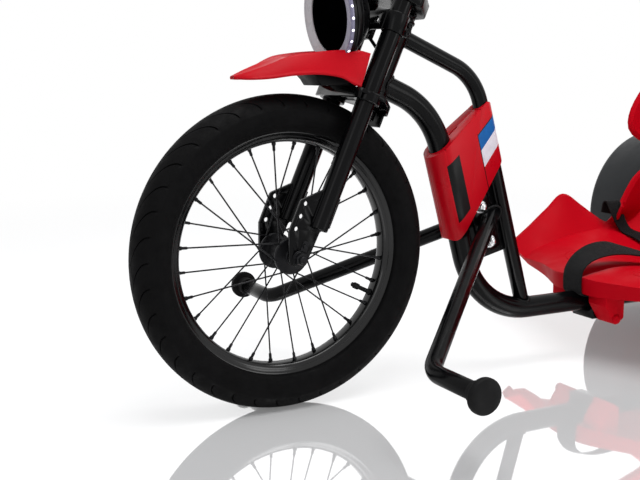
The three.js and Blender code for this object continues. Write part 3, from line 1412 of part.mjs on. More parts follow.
function fenderFoot() {
  const length = fender.tipX + fender.tailX;
  const outline = fenderFootShares.map(
    ([back, up]) => [fender.tipX - back * length, fender.tipZ + up * fender.rise],
  );
  return sidePrism(new THREE.Shape(flat(outline)), -fender.footHalf, fender.footHalf);
}

put(trike, 'mudguard', fenderBody(), redPlastic);

// Handlebar with grips, on the steering axis
function handlebar() {
  const share = crossBar.rise / (bar.kneeZ - bar.clampZ);
  const ends = sides.map(([side]) => {
    const [flatEnd, knee] = barCorners(side);
    return flatEnd.clone().lerp(knee, share);
  });
  return join(
    hollowPipe(barRoute, bar.radius, bar.wall, 12),
    cut(toSolid(rod(ends[0], ends[1], crossBar.radius, 10)), pipe(barRoute, bar.radius - bar.wall / 2, 12)),
  );
}

// A frame at the bar's end whose Y runs outward along the grip
function gripGroup(side) {
  const corners = barCorners(side);
  const outward = corners[2].clone().sub(corners[1]).normalize();
  const forward = outward.clone().cross(at(0, 0, side)).normalize();
  const up = forward.clone().cross(outward);
  const group = new THREE.Group();
  group.applyMatrix4(new THREE.Matrix4().makeBasis(forward, outward, up).setPosition(corners[2]));
  steering.add(group);
  return group;
}

function gripSleeve() {
  const bore = bar.radius + clearance;
  const start = -grip.length;
  const profile = [[bore, start], [grip.flange, start], [grip.flange, start + grip.flangeWall]];
  const pitch = (grip.length - 2 * grip.flangeWall) / grip.ribs;
  for (let k = 0; k < grip.ribs; k += 1) {
    const low = start + grip.flangeWall + k * pitch;
    profile.push([grip.radius - grip.ribHeight, low + pitch / 8], [grip.radius, low + pitch / 2]);
  }
  profile.push([grip.radius - grip.ribHeight, -grip.flangeWall], [grip.radius, 0], [bore, 0]);
  return turned(profile, 14);
}

function podRing() {
  const high = -grip.length - pod.gap;
  const low = high - pod.length;
  const edge = pod.length / 8;
  return toSolid(turned([
    [bar.radius + clearance, low], [pod.radius - edge, low], [pod.radius, low + edge],
    [pod.radius, high - edge], [pod.radius - edge, high], [bar.radius + clearance, high],
  ], 20));
}

const podMiddle = -grip.length - pod.gap - pod.length / 2;
const switchTop = pod.radius + pod.seatRise;

function switchPod() {
  const half = pod.switchWidth / 2 + pod.gap;
  const seatBlock = block(
    at(-half - pod.wall, podMiddle - pod.length / 2, bar.radius + pod.seatWall),
    at(half + pod.wall, podMiddle + pod.length / 2, switchTop),
  );
  const pocketHalf = pod.switchLength / 2 + clearance;
  const pocket = block(
    at(-half, podMiddle - pocketHalf, switchTop - pod.switchRise),
    at(half, podMiddle + pocketHalf, switchTop + overrun),
  );
  return cut(join(podRing(), toSolid(seatBlock)), toSolid(pocket), toSolid(rod(
    at(0, podMiddle - pod.length, 0), at(0, podMiddle + pod.length, 0), bar.radius + clearance, 20,
  )));
}

function rockerSwitch() {
  const half = pod.switchWidth / 2;
  const floor = switchTop - pod.switchRise;
  const [foot, keel, end, middle] = [pod.rockerFoot, pod.rockerKeel, pod.rockerEnd, pod.rockerMiddle]
    .map((rise) => floor + rise);
  return sidePrism(new THREE.Shape(flat([
    [-half, foot], [0, keel], [half, foot], [half, end], [0, middle], [-half, end],
  ])), podMiddle - pod.switchLength / 2, podMiddle + pod.switchLength / 2);
}

put(steering, 'handlebar', handlebar(), blackPaint);
const leftGrip = gripGroup(1);
const rightGrip = gripGroup(-1);
put(leftGrip, 'left_grip', gripSleeve(), gripRubber);
put(leftGrip, 'switch_housing', switchPod(), blackPlastic);
put(leftGrip, 'direction_switch', rockerSwitch(), redPlastic);
put(rightGrip, 'throttle_grip', gripSleeve(), gripRubber);
put(rightGrip, 'throttle_housing', podRing(), blackPlastic);

export default trike;
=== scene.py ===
import json
import math

import bmesh
import bpy
import numpy as np
from mathutils import Matrix, Vector

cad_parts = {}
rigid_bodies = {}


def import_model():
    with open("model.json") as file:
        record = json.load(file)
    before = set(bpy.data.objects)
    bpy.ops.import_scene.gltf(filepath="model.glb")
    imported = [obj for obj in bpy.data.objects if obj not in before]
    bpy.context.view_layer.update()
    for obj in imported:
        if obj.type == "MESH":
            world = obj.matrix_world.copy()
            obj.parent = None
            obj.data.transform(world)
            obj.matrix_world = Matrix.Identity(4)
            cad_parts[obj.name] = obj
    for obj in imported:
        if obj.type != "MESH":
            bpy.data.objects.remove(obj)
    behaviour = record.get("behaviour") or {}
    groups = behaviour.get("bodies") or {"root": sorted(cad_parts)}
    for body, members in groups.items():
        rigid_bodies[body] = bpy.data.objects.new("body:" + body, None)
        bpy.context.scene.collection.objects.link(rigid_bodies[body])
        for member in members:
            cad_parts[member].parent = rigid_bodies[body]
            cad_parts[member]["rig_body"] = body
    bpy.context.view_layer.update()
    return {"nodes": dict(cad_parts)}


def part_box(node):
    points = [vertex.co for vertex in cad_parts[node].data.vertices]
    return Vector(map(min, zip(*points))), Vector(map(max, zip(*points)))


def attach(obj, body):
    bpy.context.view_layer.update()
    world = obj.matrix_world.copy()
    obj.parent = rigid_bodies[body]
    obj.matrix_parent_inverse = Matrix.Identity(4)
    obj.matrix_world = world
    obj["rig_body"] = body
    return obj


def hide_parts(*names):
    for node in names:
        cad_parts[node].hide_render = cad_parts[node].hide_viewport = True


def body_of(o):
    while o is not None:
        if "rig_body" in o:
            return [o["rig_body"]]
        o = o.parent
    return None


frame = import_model()

# Shapes are drawn in millimetres: x forward from the front axle, y to the rider's left, z up from the floor.
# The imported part's own origin lies SHIFT behind the front axle, and its unit is the metre.
SHIFT = 492.25
SIDES = ((1, "left"), (-1, "right"))
HAIR = 0.01  # the radius at which a turned profile ends on its axis
THIN_EDGE = 0.1  # the edge of a drill, too small to matter
FULL_TURN = 2 * math.pi

# The front axle stands AXLE_HEIGHT over the floor and AXLE_LEAD in front of the steering axis.
AXLE_HEIGHT = 206.5
AXLE_LEAD = 40.1
RAKE = math.radians(23.4)
STEERING_FOOT = (-AXLE_LEAD * math.cos(RAKE), 0, AXLE_HEIGHT - AXLE_LEAD * math.sin(RAKE))
FORK = Matrix.Translation(STEERING_FOOT) @ Matrix.Rotation(-RAKE, 4, "Y")
LAMP_TILT = Matrix.Rotation(math.radians(6.3), 4, "Y") @ Matrix.Rotation(-math.pi / 2, 4, "Z")
LAMP = Matrix.Translation((-66.8, 0, 511.5)) @ LAMP_TILT
HUB = Matrix.Translation((0, 0, AXLE_HEIGHT))
UPRIGHT = Matrix.Rotation(math.pi / 2, 4, "X")


def vec(x, y, z):
    return Vector((x, y, z))


def polar(radius, angle, y=0.0):
    """A point at a radius and an angle round the y axis."""
    return vec(radius * math.cos(angle), y, radius * math.sin(angle))


def turns(count, start=0.0):
    """Evenly spaced angles, the first one start steps on."""
    return [FULL_TURN * (k + start) / count for k in range(count)]


class Shell:
    """Points in millimetres, faces, and a flat map where a surface needs one."""

    def __init__(self, points, faces, flat=None):
        self.points = [Vector(p) for p in points]
        self.faces = [tuple(f) for f in faces]
        self.flat = flat

    def moved(self, matrix):
        turned = matrix.determinant() < 0
        faces = [tuple(reversed(f)) for f in self.faces] if turned else self.faces
        return Shell([matrix @ p for p in self.points], faces, self.flat)


def strip(rows, columns, base=0, wrap_rows=False, wrap_columns=False):
    """Quads between neighbouring rows of points."""
    faces = []
    for i in range(rows if wrap_rows else rows - 1):
        for j in range(columns if wrap_columns else columns - 1):
            here, there = base + i * columns, base + ((i + 1) % rows) * columns
            beside = (j + 1) % columns
            faces.append((here + j, here + beside, there + beside, there + j))
    return faces


def route(corners, bends, steps=8):
    """Points of straight runs joined by round bends."""
    corners = [Vector(c) for c in corners]
    points = [corners[0]]
    for k in range(1, len(corners) - 1):
        arriving = (corners[k] - corners[k - 1]).normalized()
        leaving = (corners[k + 1] - corners[k]).normalized()
        angle = arriving.angle(leaving)
        spin = arriving.cross(leaving).normalized()
        start = corners[k] - arriving * bends[k - 1] * math.tan(angle / 2)
        centre = start + spin.cross(arriving) * bends[k - 1]
        for step in range(steps + 1):
            points.append(centre + Matrix.Rotation(angle * step / steps, 4, spin) @ (start - centre))
    points.append(corners[-1])
    return points


def tube(points, radius, sides=24, edge=0.8, open_radius=0.0):
    """A round tube along points, its ends closed, or open to a short bore."""
    points = [Vector(p) for p in points]
    last = len(points) - 1
    radii = radius if isinstance(radius, list) else [radius] * len(points)
    depth = 6 if open_radius else 0

    def end_rings(ring, inward):
        point, heading, side, size = ring
        flat = max(open_radius, 0.4 * size)
        bore_floor, outer_edge = (inward * depth, max(open_radius, HAIR)), (inward * edge, size)
        steps = (bore_floor, (0, flat), (0, size - edge), outer_edge)
        return [(point + heading * shift, heading, side, wide) for shift, wide in steps]

    rings = []
    side = (points[1] - points[0]).normalized().orthogonal().normalized()
    for k, point in enumerate(points):
        heading = (points[min(k + 1, last)] - points[max(k - 1, 0)]).normalized()
        side = (side - heading * side.dot(heading)).normalized()
        rings.append((point, heading, side.copy(), radii[k]))
    rings = end_rings(rings[0], 1) + rings[1:-1] + end_rings(rings[-1], -1)[::-1]
    verts = []
    for point, heading, side, size in rings:
        other = heading.cross(side)
        for angle in turns(sides):
            verts.append(point + side * size * math.cos(angle) + other * size * math.sin(angle))
    faces = strip(len(rings), sides, wrap_columns=True)
    faces.append(tuple(range(sides)))
    faces.append(tuple(reversed(range((len(rings) - 1) * sides, len(rings) * sides))))
    return Shell(verts, faces)


def lathe(profile, segments=64, closed=False):
    """A profile of radius and height turned about the y axis; an open one ends on the axis."""
    verts = [polar(radius, angle, height) for angle in turns(segments) for radius, height in profile]
    return Shell(verts, strip(segments, len(profile), wrap_rows=True, wrap_columns=closed))


def rounded(corners, radius, steps=5):
    """An outline with its corners rounded."""
    corners = [Vector((x, y, 0)) for x, y in corners]
    outline = []
    for k, corner in enumerate(corners):
        size = radius[k] if isinstance(radius, list) else radius
        before, after = corners[k - 1] - corner, corners[(k + 1) % len(corners)] - corner
        if size <= 0:
            outline.append((corner.x, corner.y))
            continue
        half = before.angle(after) / 2
        reach = min(size / math.tan(half), 0.49 * before.length, 0.49 * after.length)
        start, end = corner + before.normalized() * reach, corner + after.normalized() * reach
        for step in range(steps + 1):
            t = step / steps
            p = start * (1 - t) ** 2 + corner * 2 * t * (1 - t) + end * t * t
            outline.append((p.x, p.y))
    return outline


def rectangle(x0, y0, x1, y1):
    return [(x0, y0), (x1, y0), (x1, y1), (x0, y1)]


def prism(outline, low, high, plane="xy"):
    """An outline pushed from one height to another, across z, y or x."""
    low, high = min(low, high), max(low, high)
    order = {"xy": (0, 1, 2), "xz": (0, 2, 1), "yz": (2, 0, 1)}[plane]
    count = len(outline)
    verts = []
    for height in (low, high):
        for a, b in outline:
            place = (a, b, height)
            verts.append([place[k] for k in order])
    faces = [(k, (k + 1) % count, count + (k + 1) % count, count + k) for k in range(count)]
    faces += [tuple(reversed(range(count))), tuple(range(count, 2 * count))]
    return Shell(verts, faces)


def box(low, high):
    return prism(rectangle(low[0], low[1], high[0], high[1]), low[2], high[2])


def along(start, end, shell):
    """Moves a shell turned about the y axis so that its axis runs from start towards end."""
    heading = (Vector(end) - Vector(start)).normalized()
    turn = vec(0, 1, 0).rotation_difference(heading).to_matrix().to_4x4()
    return shell.moved(Matrix.Translation(start) @ turn)


def turned(start, end, profile, segments):
    """A solid of revolution that stands on start and points towards end."""
    return along(start, end, lathe(profile, segments))


def hexagon(start, end, radius, chamfer=1.0):
    """A nut or bolt head with its outer edge turned down."""
    length = (Vector(end) - Vector(start)).length
    rings = [(radius, 0), (radius, length - chamfer), (radius - chamfer * 1.6, length)]
    verts = [polar(size, angle, height) for size, height in rings for angle in turns(6)]
    faces = strip(3, 6, wrap_columns=True) + [tuple(reversed(range(6))), tuple(range(12, 18))]
    return along(start, end, Shell(verts, faces))


def disc(start, end, radius, edge=0.6, segments=32, bore=0.0):
    """A short round piece with turned edges, with or without a bore."""
    length = (Vector(end) - Vector(start)).length
    edge = min(edge, 0.45 * length)
    inner, lip = bore or HAIR, radius - edge
    profile = [(inner, 0), (lip, 0), (radius, edge), (radius, length - edge), (lip, length), (inner, length)]
    return along(start, end, lathe(profile, segments, bool(bore)))


def drill(start, end, radius, segments=24):
    return disc(start, end, radius, THIN_EDGE, segments)


def thick(grid, wall, flat=None):
    """A thin wall under a grid of points, closed at its edges."""
    rows, columns = len(grid), len(grid[0])
    top, under = [], []
    for i in range(rows):
        for j in range(columns):
            ahead = grid[min(i + 1, rows - 1)][j] - grid[max(i - 1, 0)][j]
            aside = grid[i][min(j + 1, columns - 1)] - grid[i][max(j - 1, 0)]
            top.append(grid[i][j].copy())
            under.append(grid[i][j] + ahead.cross(aside).normalized() * wall)
    count = rows * columns
    faces = [tuple(reversed(f)) for f in strip(rows, columns)] + strip(rows, columns, base=count)
    for i in range(rows - 1):
        a, b = i * columns, (i + 1) * columns
        faces.append((a, b, count + b, count + a))
        a, b = a + columns - 1, b + columns - 1
        faces.append((b, a, count + a, count + b))
    for j in range(columns - 1):
        faces.append((j + 1, j, count + j, count + j + 1))
        a = (rows - 1) * columns + j
        faces.append((a, a + 1, count + a + 1, count + a))
    return Shell(top + under, faces, flat + flat if flat else None)


def smooth_rows(rows, steps):
    """More rows between the given ones, on a smooth curve through them."""
    last = len(rows) - 1
    result = []
    for i in range(last):
        four = (rows[max(i - 1, 0)], rows[i], rows[i + 1], rows[min(i + 2, last)])
        for step in range(steps):
            t = step / steps
            line = []
            for a, b, c, d in zip(*four):
                square, cube = 2 * a - 5 * b + 4 * c - d, 3 * b - a - 3 * c + d
                line.append(0.5 * ((2 * b) + (c - a) * t + square * t * t + cube * t ** 3))
            result.append(line)
    result.append([p.copy() for p in rows[-1]])
    return result


def whole(half):
    """A row from side to side, from the half that runs outward from the middle."""
    return [vec(p.x, -p.y, p.z) for p in half[1:]][::-1] + half


def bead(points, size, lumps, closed=False):
    """A lumpy weld bead along points."""
    points = [Vector(p) for p in points]
    count, total, sides = len(points), lumps * 4, 8
    dense = []
    for k in range(total if closed else total + 1):
        place = k / total * (count if closed else count - 1)
        low = int(place)
        far = points[(low + 1) % count if closed else min(low + 1, count - 1)]
        dense.append(points[low % count].lerp(far, place - low))
    count = len(dense)
    verts = []
    side = None
    for k, point in enumerate(dense):
        before = dense[(k - 1) % count] if closed else dense[max(k - 1, 0)]
        after = dense[(k + 1) % count] if closed else dense[min(k + 1, count - 1)]
        heading = (after - before).normalized()
        side = heading.orthogonal() if side is None else side - heading * side.dot(heading)
        side = side.normalized()
        other = heading.cross(side)
        swell = size * (1 + 0.13 * math.cos(math.pi * k / 2))
        if not closed and k in (0, count - 1):
            swell *= 0.35
        for angle in turns(sides):
            verts.append(point + (side * math.cos(angle) + other * math.sin(angle)) * swell)
    faces = strip(count, sides, wrap_rows=closed, wrap_columns=True)
    if not closed:
        faces += [tuple(range(sides)), tuple(reversed(range((count - 1) * sides, count * sides)))]
    return Shell(verts, faces)


def around(point, heading, radius, steps=36):
    """Starts and the shared heading of the straight lines along a tube's skin."""
    heading = Vector(heading).normalized()
    side = heading.orthogonal().normalized()
    other = heading.cross(side)
    for angle in turns(steps):
        yield Vector(point) + (side * math.cos(angle) + other * math.sin(angle)) * radius, heading


def joint_bead(point, heading, radius, foot, axis, reach, size):
    """The bead where a tube meets a round tube of the given axis and radius."""
    loop = []
    for start, line in around(point, heading, radius + 0.2 * size):
        gap, slope = start - foot, line - axis * line.dot(axis)
        gap = gap - axis * gap.dot(axis)
        a, b, c = slope.dot(slope), 2 * gap.dot(slope), gap.dot(gap) - reach ** 2
        root = max(0.0, b * b - 4 * a * c)
        loop.append(start + line * ((-b + math.sqrt(root)) / (2 * a)))
    return bead(loop, size, 26, True)


def joint_plane_bead(point, heading, radius, y, size):
    """The bead where a slanting tube meets an upright plate at y."""
    lines = around(point, heading, radius + 0.2 * size)
    return bead([start + line * ((y - start.y) / line.y) for start, line in lines], size, 24, True)


def ring_bead(centre, heading, radius, size):
    return bead([p for p, _ in around(centre, heading, radius)], size, 24, True)


def thread(start, end, radius, pitch):
    """A ring-grooved rod end."""
    length = (Vector(end) - Vector(start)).length
    profile = [(HAIR, 0)]
    for k in range(int(length / pitch)):
        profile += [(radius - 0.5, k * pitch + 0.05), (radius + 0.1, (k + 0.5) * pitch)]
    profile += [(radius - 0.5, length), (HAIR, length)]
    return turned(start, end, profile, 24)


def socket_bolt(low, high, radius):
    """A cap screw: a head with a deep round socket, and the socket's floor."""
    low, reach = Vector(low), Vector(high) - Vector(low)
    length = reach.length
    deep = length * 0.45
    profile = [(radius * 0.5, length - deep), (radius * 0.52, length - 0.2), (radius - 0.6, length)]
    profile += [(radius, length - 0.6), (radius, 0), (HAIR, 0)]
    socket_floor = drill(low + reach * 0.1, low + reach * ((length - deep) / length), radius * 0.6)
    return [turned(low, high, profile, 24), socket_floor]


def to_mesh(name, shells):
    """One mesh in metres, in the part's frame, from shells in millimetres."""
    verts, faces, flats = [], [], []
    for shell in shells:
        base = len(verts)
        verts += [((p.x + SHIFT) / 1000, p.y / 1000, p.z / 1000) for p in shell.points]
        faces += [tuple(base + k for k in f) for f in shell.faces]
        flats += shell.flat or [(0, 0)] * len(shell.points)
    mesh = bpy.data.meshes.new(name)
    mesh.from_pydata(verts, [], faces)
    if any(shell.flat for shell in shells):
        layer = mesh.uv_layers.new(name="flat")
        for loop in mesh.loops:
            layer.data[loop.index].uv = flats[loop.vertex_index]
    work = bmesh.new()
    work.from_mesh(mesh)
    bmesh.ops.recalc_face_normals(work, faces=work.faces)
    work.to_mesh(mesh)
    work.free()
    return mesh


def placed(name, data):
    thing = bpy.data.objects.new(name, data)
    bpy.context.scene.collection.objects.link(thing)
    return thing


def settled(thing):
    """The object's mesh with its modifiers applied."""
    bpy.context.view_layer.update()
    shown = thing.evaluated_get(bpy.context.evaluated_depsgraph_get())
    mesh = bpy.data.meshes.new_from_object(shown)
    thing.modifiers.clear()
    thing.data = mesh
    return mesh


def combine(shell, others, operation):
    """A shell after other shells are cut from it, or kept in common with it."""
    thing = placed("work", to_mesh("work", [shell]))
    tools = [placed("tool", to_mesh("tool", [other])) for other in others]
    for tool in tools:
        change = thing.modifiers.new("cut", "BOOLEAN")
        change.operation = operation
        change.solver = "EXACT"
        change.object = tool
    mesh = settled(thing)
    points = [Vector((v.co.x * 1000 - SHIFT, v.co.y * 1000, v.co.z * 1000)) for v in mesh.vertices]
    result = Shell(points, [tuple(p.vertices) for p in mesh.polygons])
    for used in tools + [thing]:
        bpy.data.objects.remove(used)
    return result


def carve(shell, cutters):
    return combine(shell, cutters, "DIFFERENCE")


def piece(name, shells, surface, node="", place=None, bevel=0.0, sharp=32, steps=2, body="", slot=""):
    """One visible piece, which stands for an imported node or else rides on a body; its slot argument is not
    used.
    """
    shells = shells if isinstance(shells, list) else [shells]
    if place:
        shells = [shell.moved(place) for shell in shells]
    thing = placed(name, to_mesh(name, shells))
    thing.data.materials.append(surface)
    for face in thing.data.polygons:
        face.use_smooth = True
    thing.data.set_sharp_from_angle(angle=math.radians(sharp))
    if bevel:
        change = thing.modifiers.new("edge", "BEVEL")
        change.width = bevel / 1000
        change.segments = steps
        change.limit_method = "ANGLE"
        change.angle_limit = math.radians(sharp)
        change.harden_normals = True
        change.use_clamp_overlap = True
        settled(thing)
        thing.data.set_sharp_from_angle(angle=math.radians(60))
    if node:
        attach(thing, body_of(frame["nodes"][node])[0])
        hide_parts(node)
    else:
        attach(thing, body)


# Materials
def add_node(tree, kind, inputs=None, **settings):
    node = tree.nodes.new("ShaderNode" + kind)
    for key, value in settings.items():
        setattr(node, key, value)
    for key, value in (inputs or {}).items():
        fill(tree, node.inputs[key], value)
    return node


def fill(tree, socket, value):
    """Gives a socket a link or a plain value."""
    if isinstance(value, bpy.types.NodeSocket):
        tree.links.new(value, socket)
    else:
        socket.default_value = value


class Recipe:
    """A material's node tree, with short calls for the nodes that come again and again."""

    def __init__(self, name):
        self.surface = bpy.data.materials.new(name)
        self.surface.use_nodes = True
        self.tree = self.surface.node_tree
        self.shader = self.tree.nodes["Principled BSDF"]
        self.where = self.add("TexCoord").outputs["Object"]

    def add(self, kind, inputs=None, **settings):
        return add_node(self.tree, kind, inputs, **settings)

    def math(self, operation, *values):
        return self.add("Math", dict(enumerate(values)), operation=operation).outputs[0]

    def noise(self, scale, detail=4.0, rough=0.55, stretch=None):
        where = self.where
        if stretch:
            where = self.add("Mapping", {"Vector": where, "Scale": stretch}).outputs["Vector"]
        inputs = {"Vector": where, "Scale": scale, "Detail": detail, "Roughness": rough}
        return self.add("TexNoise", inputs).outputs["Fac"]

    def spread(self, value, low, high, from_low=0.3, from_high=0.7):
        inputs = {"Value": value, "From Min": from_low, "From Max": from_high, "To Min": low, "To Max": high}
        return self.add("MapRange", inputs).outputs["Result"]

    def mixed(self, share, first, second):
        """A blend of two colours, each a socket or a red, green and blue."""
        node = self.add("Mix", data_type="RGBA")
        for number, value in ((0, share), (6, first), (7, second)):
            fill(self.tree, node.inputs[number], value + (1,) if isinstance(value, tuple) else value)
        return node.outputs[2]

    def bump(self, height, strength, distance):
        relief = self.add("Bump", {"Height": height, "Strength": strength, "Distance": distance})
        self.set(Normal=relief.outputs["Normal"])

    def set(self, **inputs):
        for key, value in inputs.items():
            fill(self.tree, self.shader.inputs[key.replace("_", " ")], value)


def shade(color, factor):
    return tuple(min(1.0, c * factor) for c in color)


def finish(name, color, rough, metal=0.0, vary=0.25, patch=9.0, grain=700.0, depth=0.08, coat=0.0,
           specular=0.5, rough_span=0.1, scuff=0.0):
    """Moulding, paint, metal or rubber: patchy colour, uneven gloss, fine relief and light wear."""
    recipe = Recipe(name)
    patches = recipe.spread(recipe.noise(patch), 0, 1)
    tone = recipe.mixed(patches, shade(color, 1 - vary), shade(color, 1 + vary))
    if scuff:
        marks = recipe.noise(120.0, 6.0, 0.7, stretch=(1, 0.18, 0.6))
        worn = tuple(c + 0.06 for c in color)
        tone = recipe.mixed(recipe.spread(marks, 0, scuff, 0.62, 0.8), tone, worn)
    gloss = recipe.noise(patch * 6, 5.0)
    recipe.bump(recipe.noise(grain, 3.0), depth, 0.0006)
    recipe.set(Base_Color=tone, Metallic=metal, Coat_Weight=coat, Coat_Roughness=0.08)
    recipe.set(Roughness=recipe.spread(gloss, max(0.02, rough - rough_span), min(1, rough + rough_span)))
    recipe.set(Specular_IOR_Level=specular)
    return recipe


def paint(*values, **more):
    return finish(*values, **more).surface


RED = (0.5, 0.0012, 0.0085)
RED_MOULDING = {"vary": 0.08, "patch": 5, "grain": 520}
black_paint = paint("black_paint", (0.0016, 0.0016, 0.0019), 0.2, vary=0.2, grain=420, depth=0.05,
                    specular=0.1, scuff=0.02)
rim_paint = paint("rim_paint", (0.0016, 0.0016, 0.0018), 0.14, vary=0.2, grain=420, depth=0.04,
                  specular=0.35, rough_span=0.05)
dark_steel = paint("dark_steel", (0.008, 0.008, 0.009), 0.36, metal=0.35, grain=900, depth=0.06,
                   specular=0.15)
bright_steel = paint("bright_steel", (0.5, 0.5, 0.51), 0.22, metal=1.0, vary=0.12, grain=900, depth=0.05)
red_gloss = paint("red_gloss", RED, 0.4, depth=0.07, specular=0.1, scuff=0.03, **RED_MOULDING)
red_plastic = paint("red_plastic", RED, 0.46, depth=0.07, specular=0.035, scuff=0.015, **RED_MOULDING)
black_plastic = paint("black_plastic", (0.003, 0.003, 0.0034), 0.46, grain=1400, depth=0.3, specular=0.12)
grip_rubber = paint("grip_rubber", (0.003, 0.003, 0.0032), 0.62, vary=0.2, grain=1100, depth=0.35,
                    specular=0.12)
tyre_rubber = paint("tyre_rubber", (0.0021, 0.002, 0.0022), 0.62, vary=0.3, patch=14, grain=900, depth=0.3,
                    specular=0.06, rough_span=0.12, scuff=0.04)
sleeve_plastic = paint("sleeve_plastic", (0.013, 0.0145, 0.016), 0.42, vary=0.15, patch=6, grain=260,
                       depth=0.1, specular=0.2, scuff=0.12)
lamp_case = paint("lamp_case", (0.0022, 0.0022, 0.0026), 0.3, vary=0.2, grain=600, depth=0.1, coat=0.04,
                  specular=0.12)
thread_grey = paint("thread_grey", (0.014, 0.014, 0.015), 0.7, vary=0.3, grain=2000, depth=0.3, specular=0.1)
lamp_black = paint("lamp_black", (0.0006, 0.0006, 0.0008), 0.3, vary=0.3, grain=300, depth=0.02,
                   specular=0.0)


def halo():
    """The lamp's light guide: milky plastic with painted light and shade, its left half darker and violet
    and its right half pale, faintly lit.
    """
    recipe = Recipe("halo")
    across = recipe.add("SeparateXYZ", {"Vector": recipe.where}).outputs["Y"]
    cloud = recipe.noise(60)
    # Painted light and shade: the ring's left half turns darker and violet and its right half pale, split at
    # its middle across y.
    tone = recipe.mixed(recipe.spread(across, 0, 1, -0.03, 0.03), (0.4, 0.395, 0.41), (0.13, 0.12, 0.2))
    tone = recipe.mixed(recipe.spread(cloud, 0, 0.12), tone, (0.7, 0.69, 0.74))
    recipe.set(Base_Color=tone, Emission_Color=tone, Emission_Strength=0.12)
    recipe.set(Roughness=recipe.spread(cloud, 0.2, 0.34))
    ridges = recipe.add("TexNoise", {"Vector": recipe.where, "Scale": 500.0})
    recipe.bump(ridges.outputs["Fac"], 0.1, 0.0005)
    return recipe.surface


def glowing():
    recipe = Recipe("led")
    tone = recipe.mixed(recipe.spread(recipe.noise(300), 0, 1), (0.8, 0.75, 1), (1, 1, 1))
    recipe.set(Base_Color=tone, Emission_Color=tone, Emission_Strength=1.3)
    return recipe.surface


def woven():
    """Black webbing: a herringbone of small ribs, laid out on the band's own flat map in millimetres."""
    recipe = Recipe("woven")
    flat = recipe.add("UVMap", uv_map="flat").outputs["UV"]
    parts = recipe.add("SeparateXYZ", {"Vector": flat})
    across, length = parts.outputs["X"], parts.outputs["Y"]
    slanted = recipe.math("ADD", length, recipe.math("PINGPONG", across, 4.0))
    ribs = recipe.math("SINE", recipe.math("MULTIPLY", slanted, 3.6))
    cords = recipe.math("SINE", recipe.math("MULTIPLY", across, 5.2))
    height = recipe.math("MULTIPLY", ribs, cords)
    weave = recipe.spread(height, 0, 1, -1, 1)
    tone = recipe.mixed(weave, (0.0014, 0.0014, 0.0016), (0.0066, 0.0066, 0.0072))
    tone = recipe.mixed(recipe.spread(recipe.noise(30), 0, 0.4), tone, (0.0052, 0.0052, 0.0056))
    recipe.bump(height, 0.5, 0.0005)
    recipe.set(Base_Color=tone, Sheen_Weight=0.03, Specular_IOR_Level=0.12)
    recipe.set(Roughness=recipe.spread(recipe.noise(200), 0.7, 0.9))
    return recipe.surface


halo_ring = halo()
led_light = glowing()
webbing = woven()


# Camera, floor and light
scene = bpy.context.scene
camera_data = bpy.data.cameras.new("camera")
camera_data.lens = 56.83
camera_data.sensor_width = 36
camera_data.clip_end = 100
camera = placed("camera", camera_data)
scene.camera = camera
eye = vec((556.67 + SHIFT) / 1000, 1.17449, 0.43974)
look = vec(-0.45507, -0.87523, -0.16396).normalized()
right = vec(-0.8872, 0.4613, 0).normalized()
rise = right.cross(look)
camera.matrix_world = Matrix.Translation(eye) @ Matrix((right, rise, -look)).transposed().to_4x4()


def floor():
    """A pale floor that mirrors the trike near it and fades into the white background."""
    count, reach = 96, 9
    mesh = bpy.data.meshes.new("floor")
    rim = [(reach * math.cos(angle), reach * math.sin(angle), 0) for angle in turns(count)]
    mesh.from_pydata([(0, 0, 0)] + rim, [], [(0, 1 + k, 1 + (k + 1) % count) for k in range(count)])
    recipe = Recipe("floor")
    tone = recipe.mixed(recipe.spread(recipe.noise(3), 0, 1), (0.9, 0.905, 0.91), (0.93, 0.93, 0.935))
    recipe.set(Base_Color=tone, Roughness=0.85)
    white = (1, 1, 1, 1)
    matte = recipe.shader.outputs[0]
    mirror = recipe.add("BsdfGlossy", {"Color": white, "Roughness": 0.03})
    blend = recipe.add("MixShader", {0: 0.585, 1: matte, 2: mirror.outputs[0]})
    rays = recipe.add("LightPath")
    seen = recipe.math("MAXIMUM", rays.outputs["Is Camera Ray"], rays.outputs["Is Glossy Ray"])
    away = recipe.add("VectorMath", {0: recipe.where}, operation="LENGTH").outputs["Value"]
    inputs = {"Value": away, "From Min": 0.9, "From Max": 2.6, "To Min": 0.0, "To Max": 1.0}
    fade = recipe.add("MapRange", inputs, interpolation_type="SMOOTHSTEP").outputs["Result"]
    lifted = recipe.add("Emission", {"Color": white, "Strength": 0.14})
    bright = recipe.add("Emission", {"Color": white, "Strength": 1.0})
    near = recipe.add("AddShader", {0: blend.outputs[0], 1: lifted.outputs[0]})
    far = recipe.add("MixShader", {0: fade, 1: near.outputs[0], 2: bright.outputs[0]})
    shown = recipe.add("MixShader", {0: seen, 1: matte, 2: far.outputs[0]})
    recipe.tree.links.new(shown.outputs[0], recipe.tree.nodes["Material Output"].inputs["Surface"])
    mesh.materials.append(recipe.surface)
    placed("floor", mesh)


def daylight():
    """Soft light from all round, behind a background that the camera and the mirrors see as white."""
    world = bpy.data.worlds.new("studio")
    scene.world = world
    world.use_nodes = True
    tree = world.node_tree
    rays = add_node(tree, "LightPath")
    seen = rays.outputs["Is Camera Ray"]
    for name in ("Is Glossy Ray", "Is Transmission Ray"):
        seen = add_node(tree, "Math", {0: seen, 1: rays.outputs[name]}, operation="MAXIMUM").outputs[0]
    white = add_node(tree, "Background", {"Color": (1, 1, 1, 1), "Strength": 1.0})
    soft = add_node(tree, "Background", {"Color": (0.93, 0.95, 1, 1), "Strength": 0.36})
    both = add_node(tree, "MixShader", {0: seen, 1: soft.outputs[0], 2: white.outputs[0]})
    tree.links.new(both.outputs[0], tree.nodes["World Output"].inputs["Surface"])


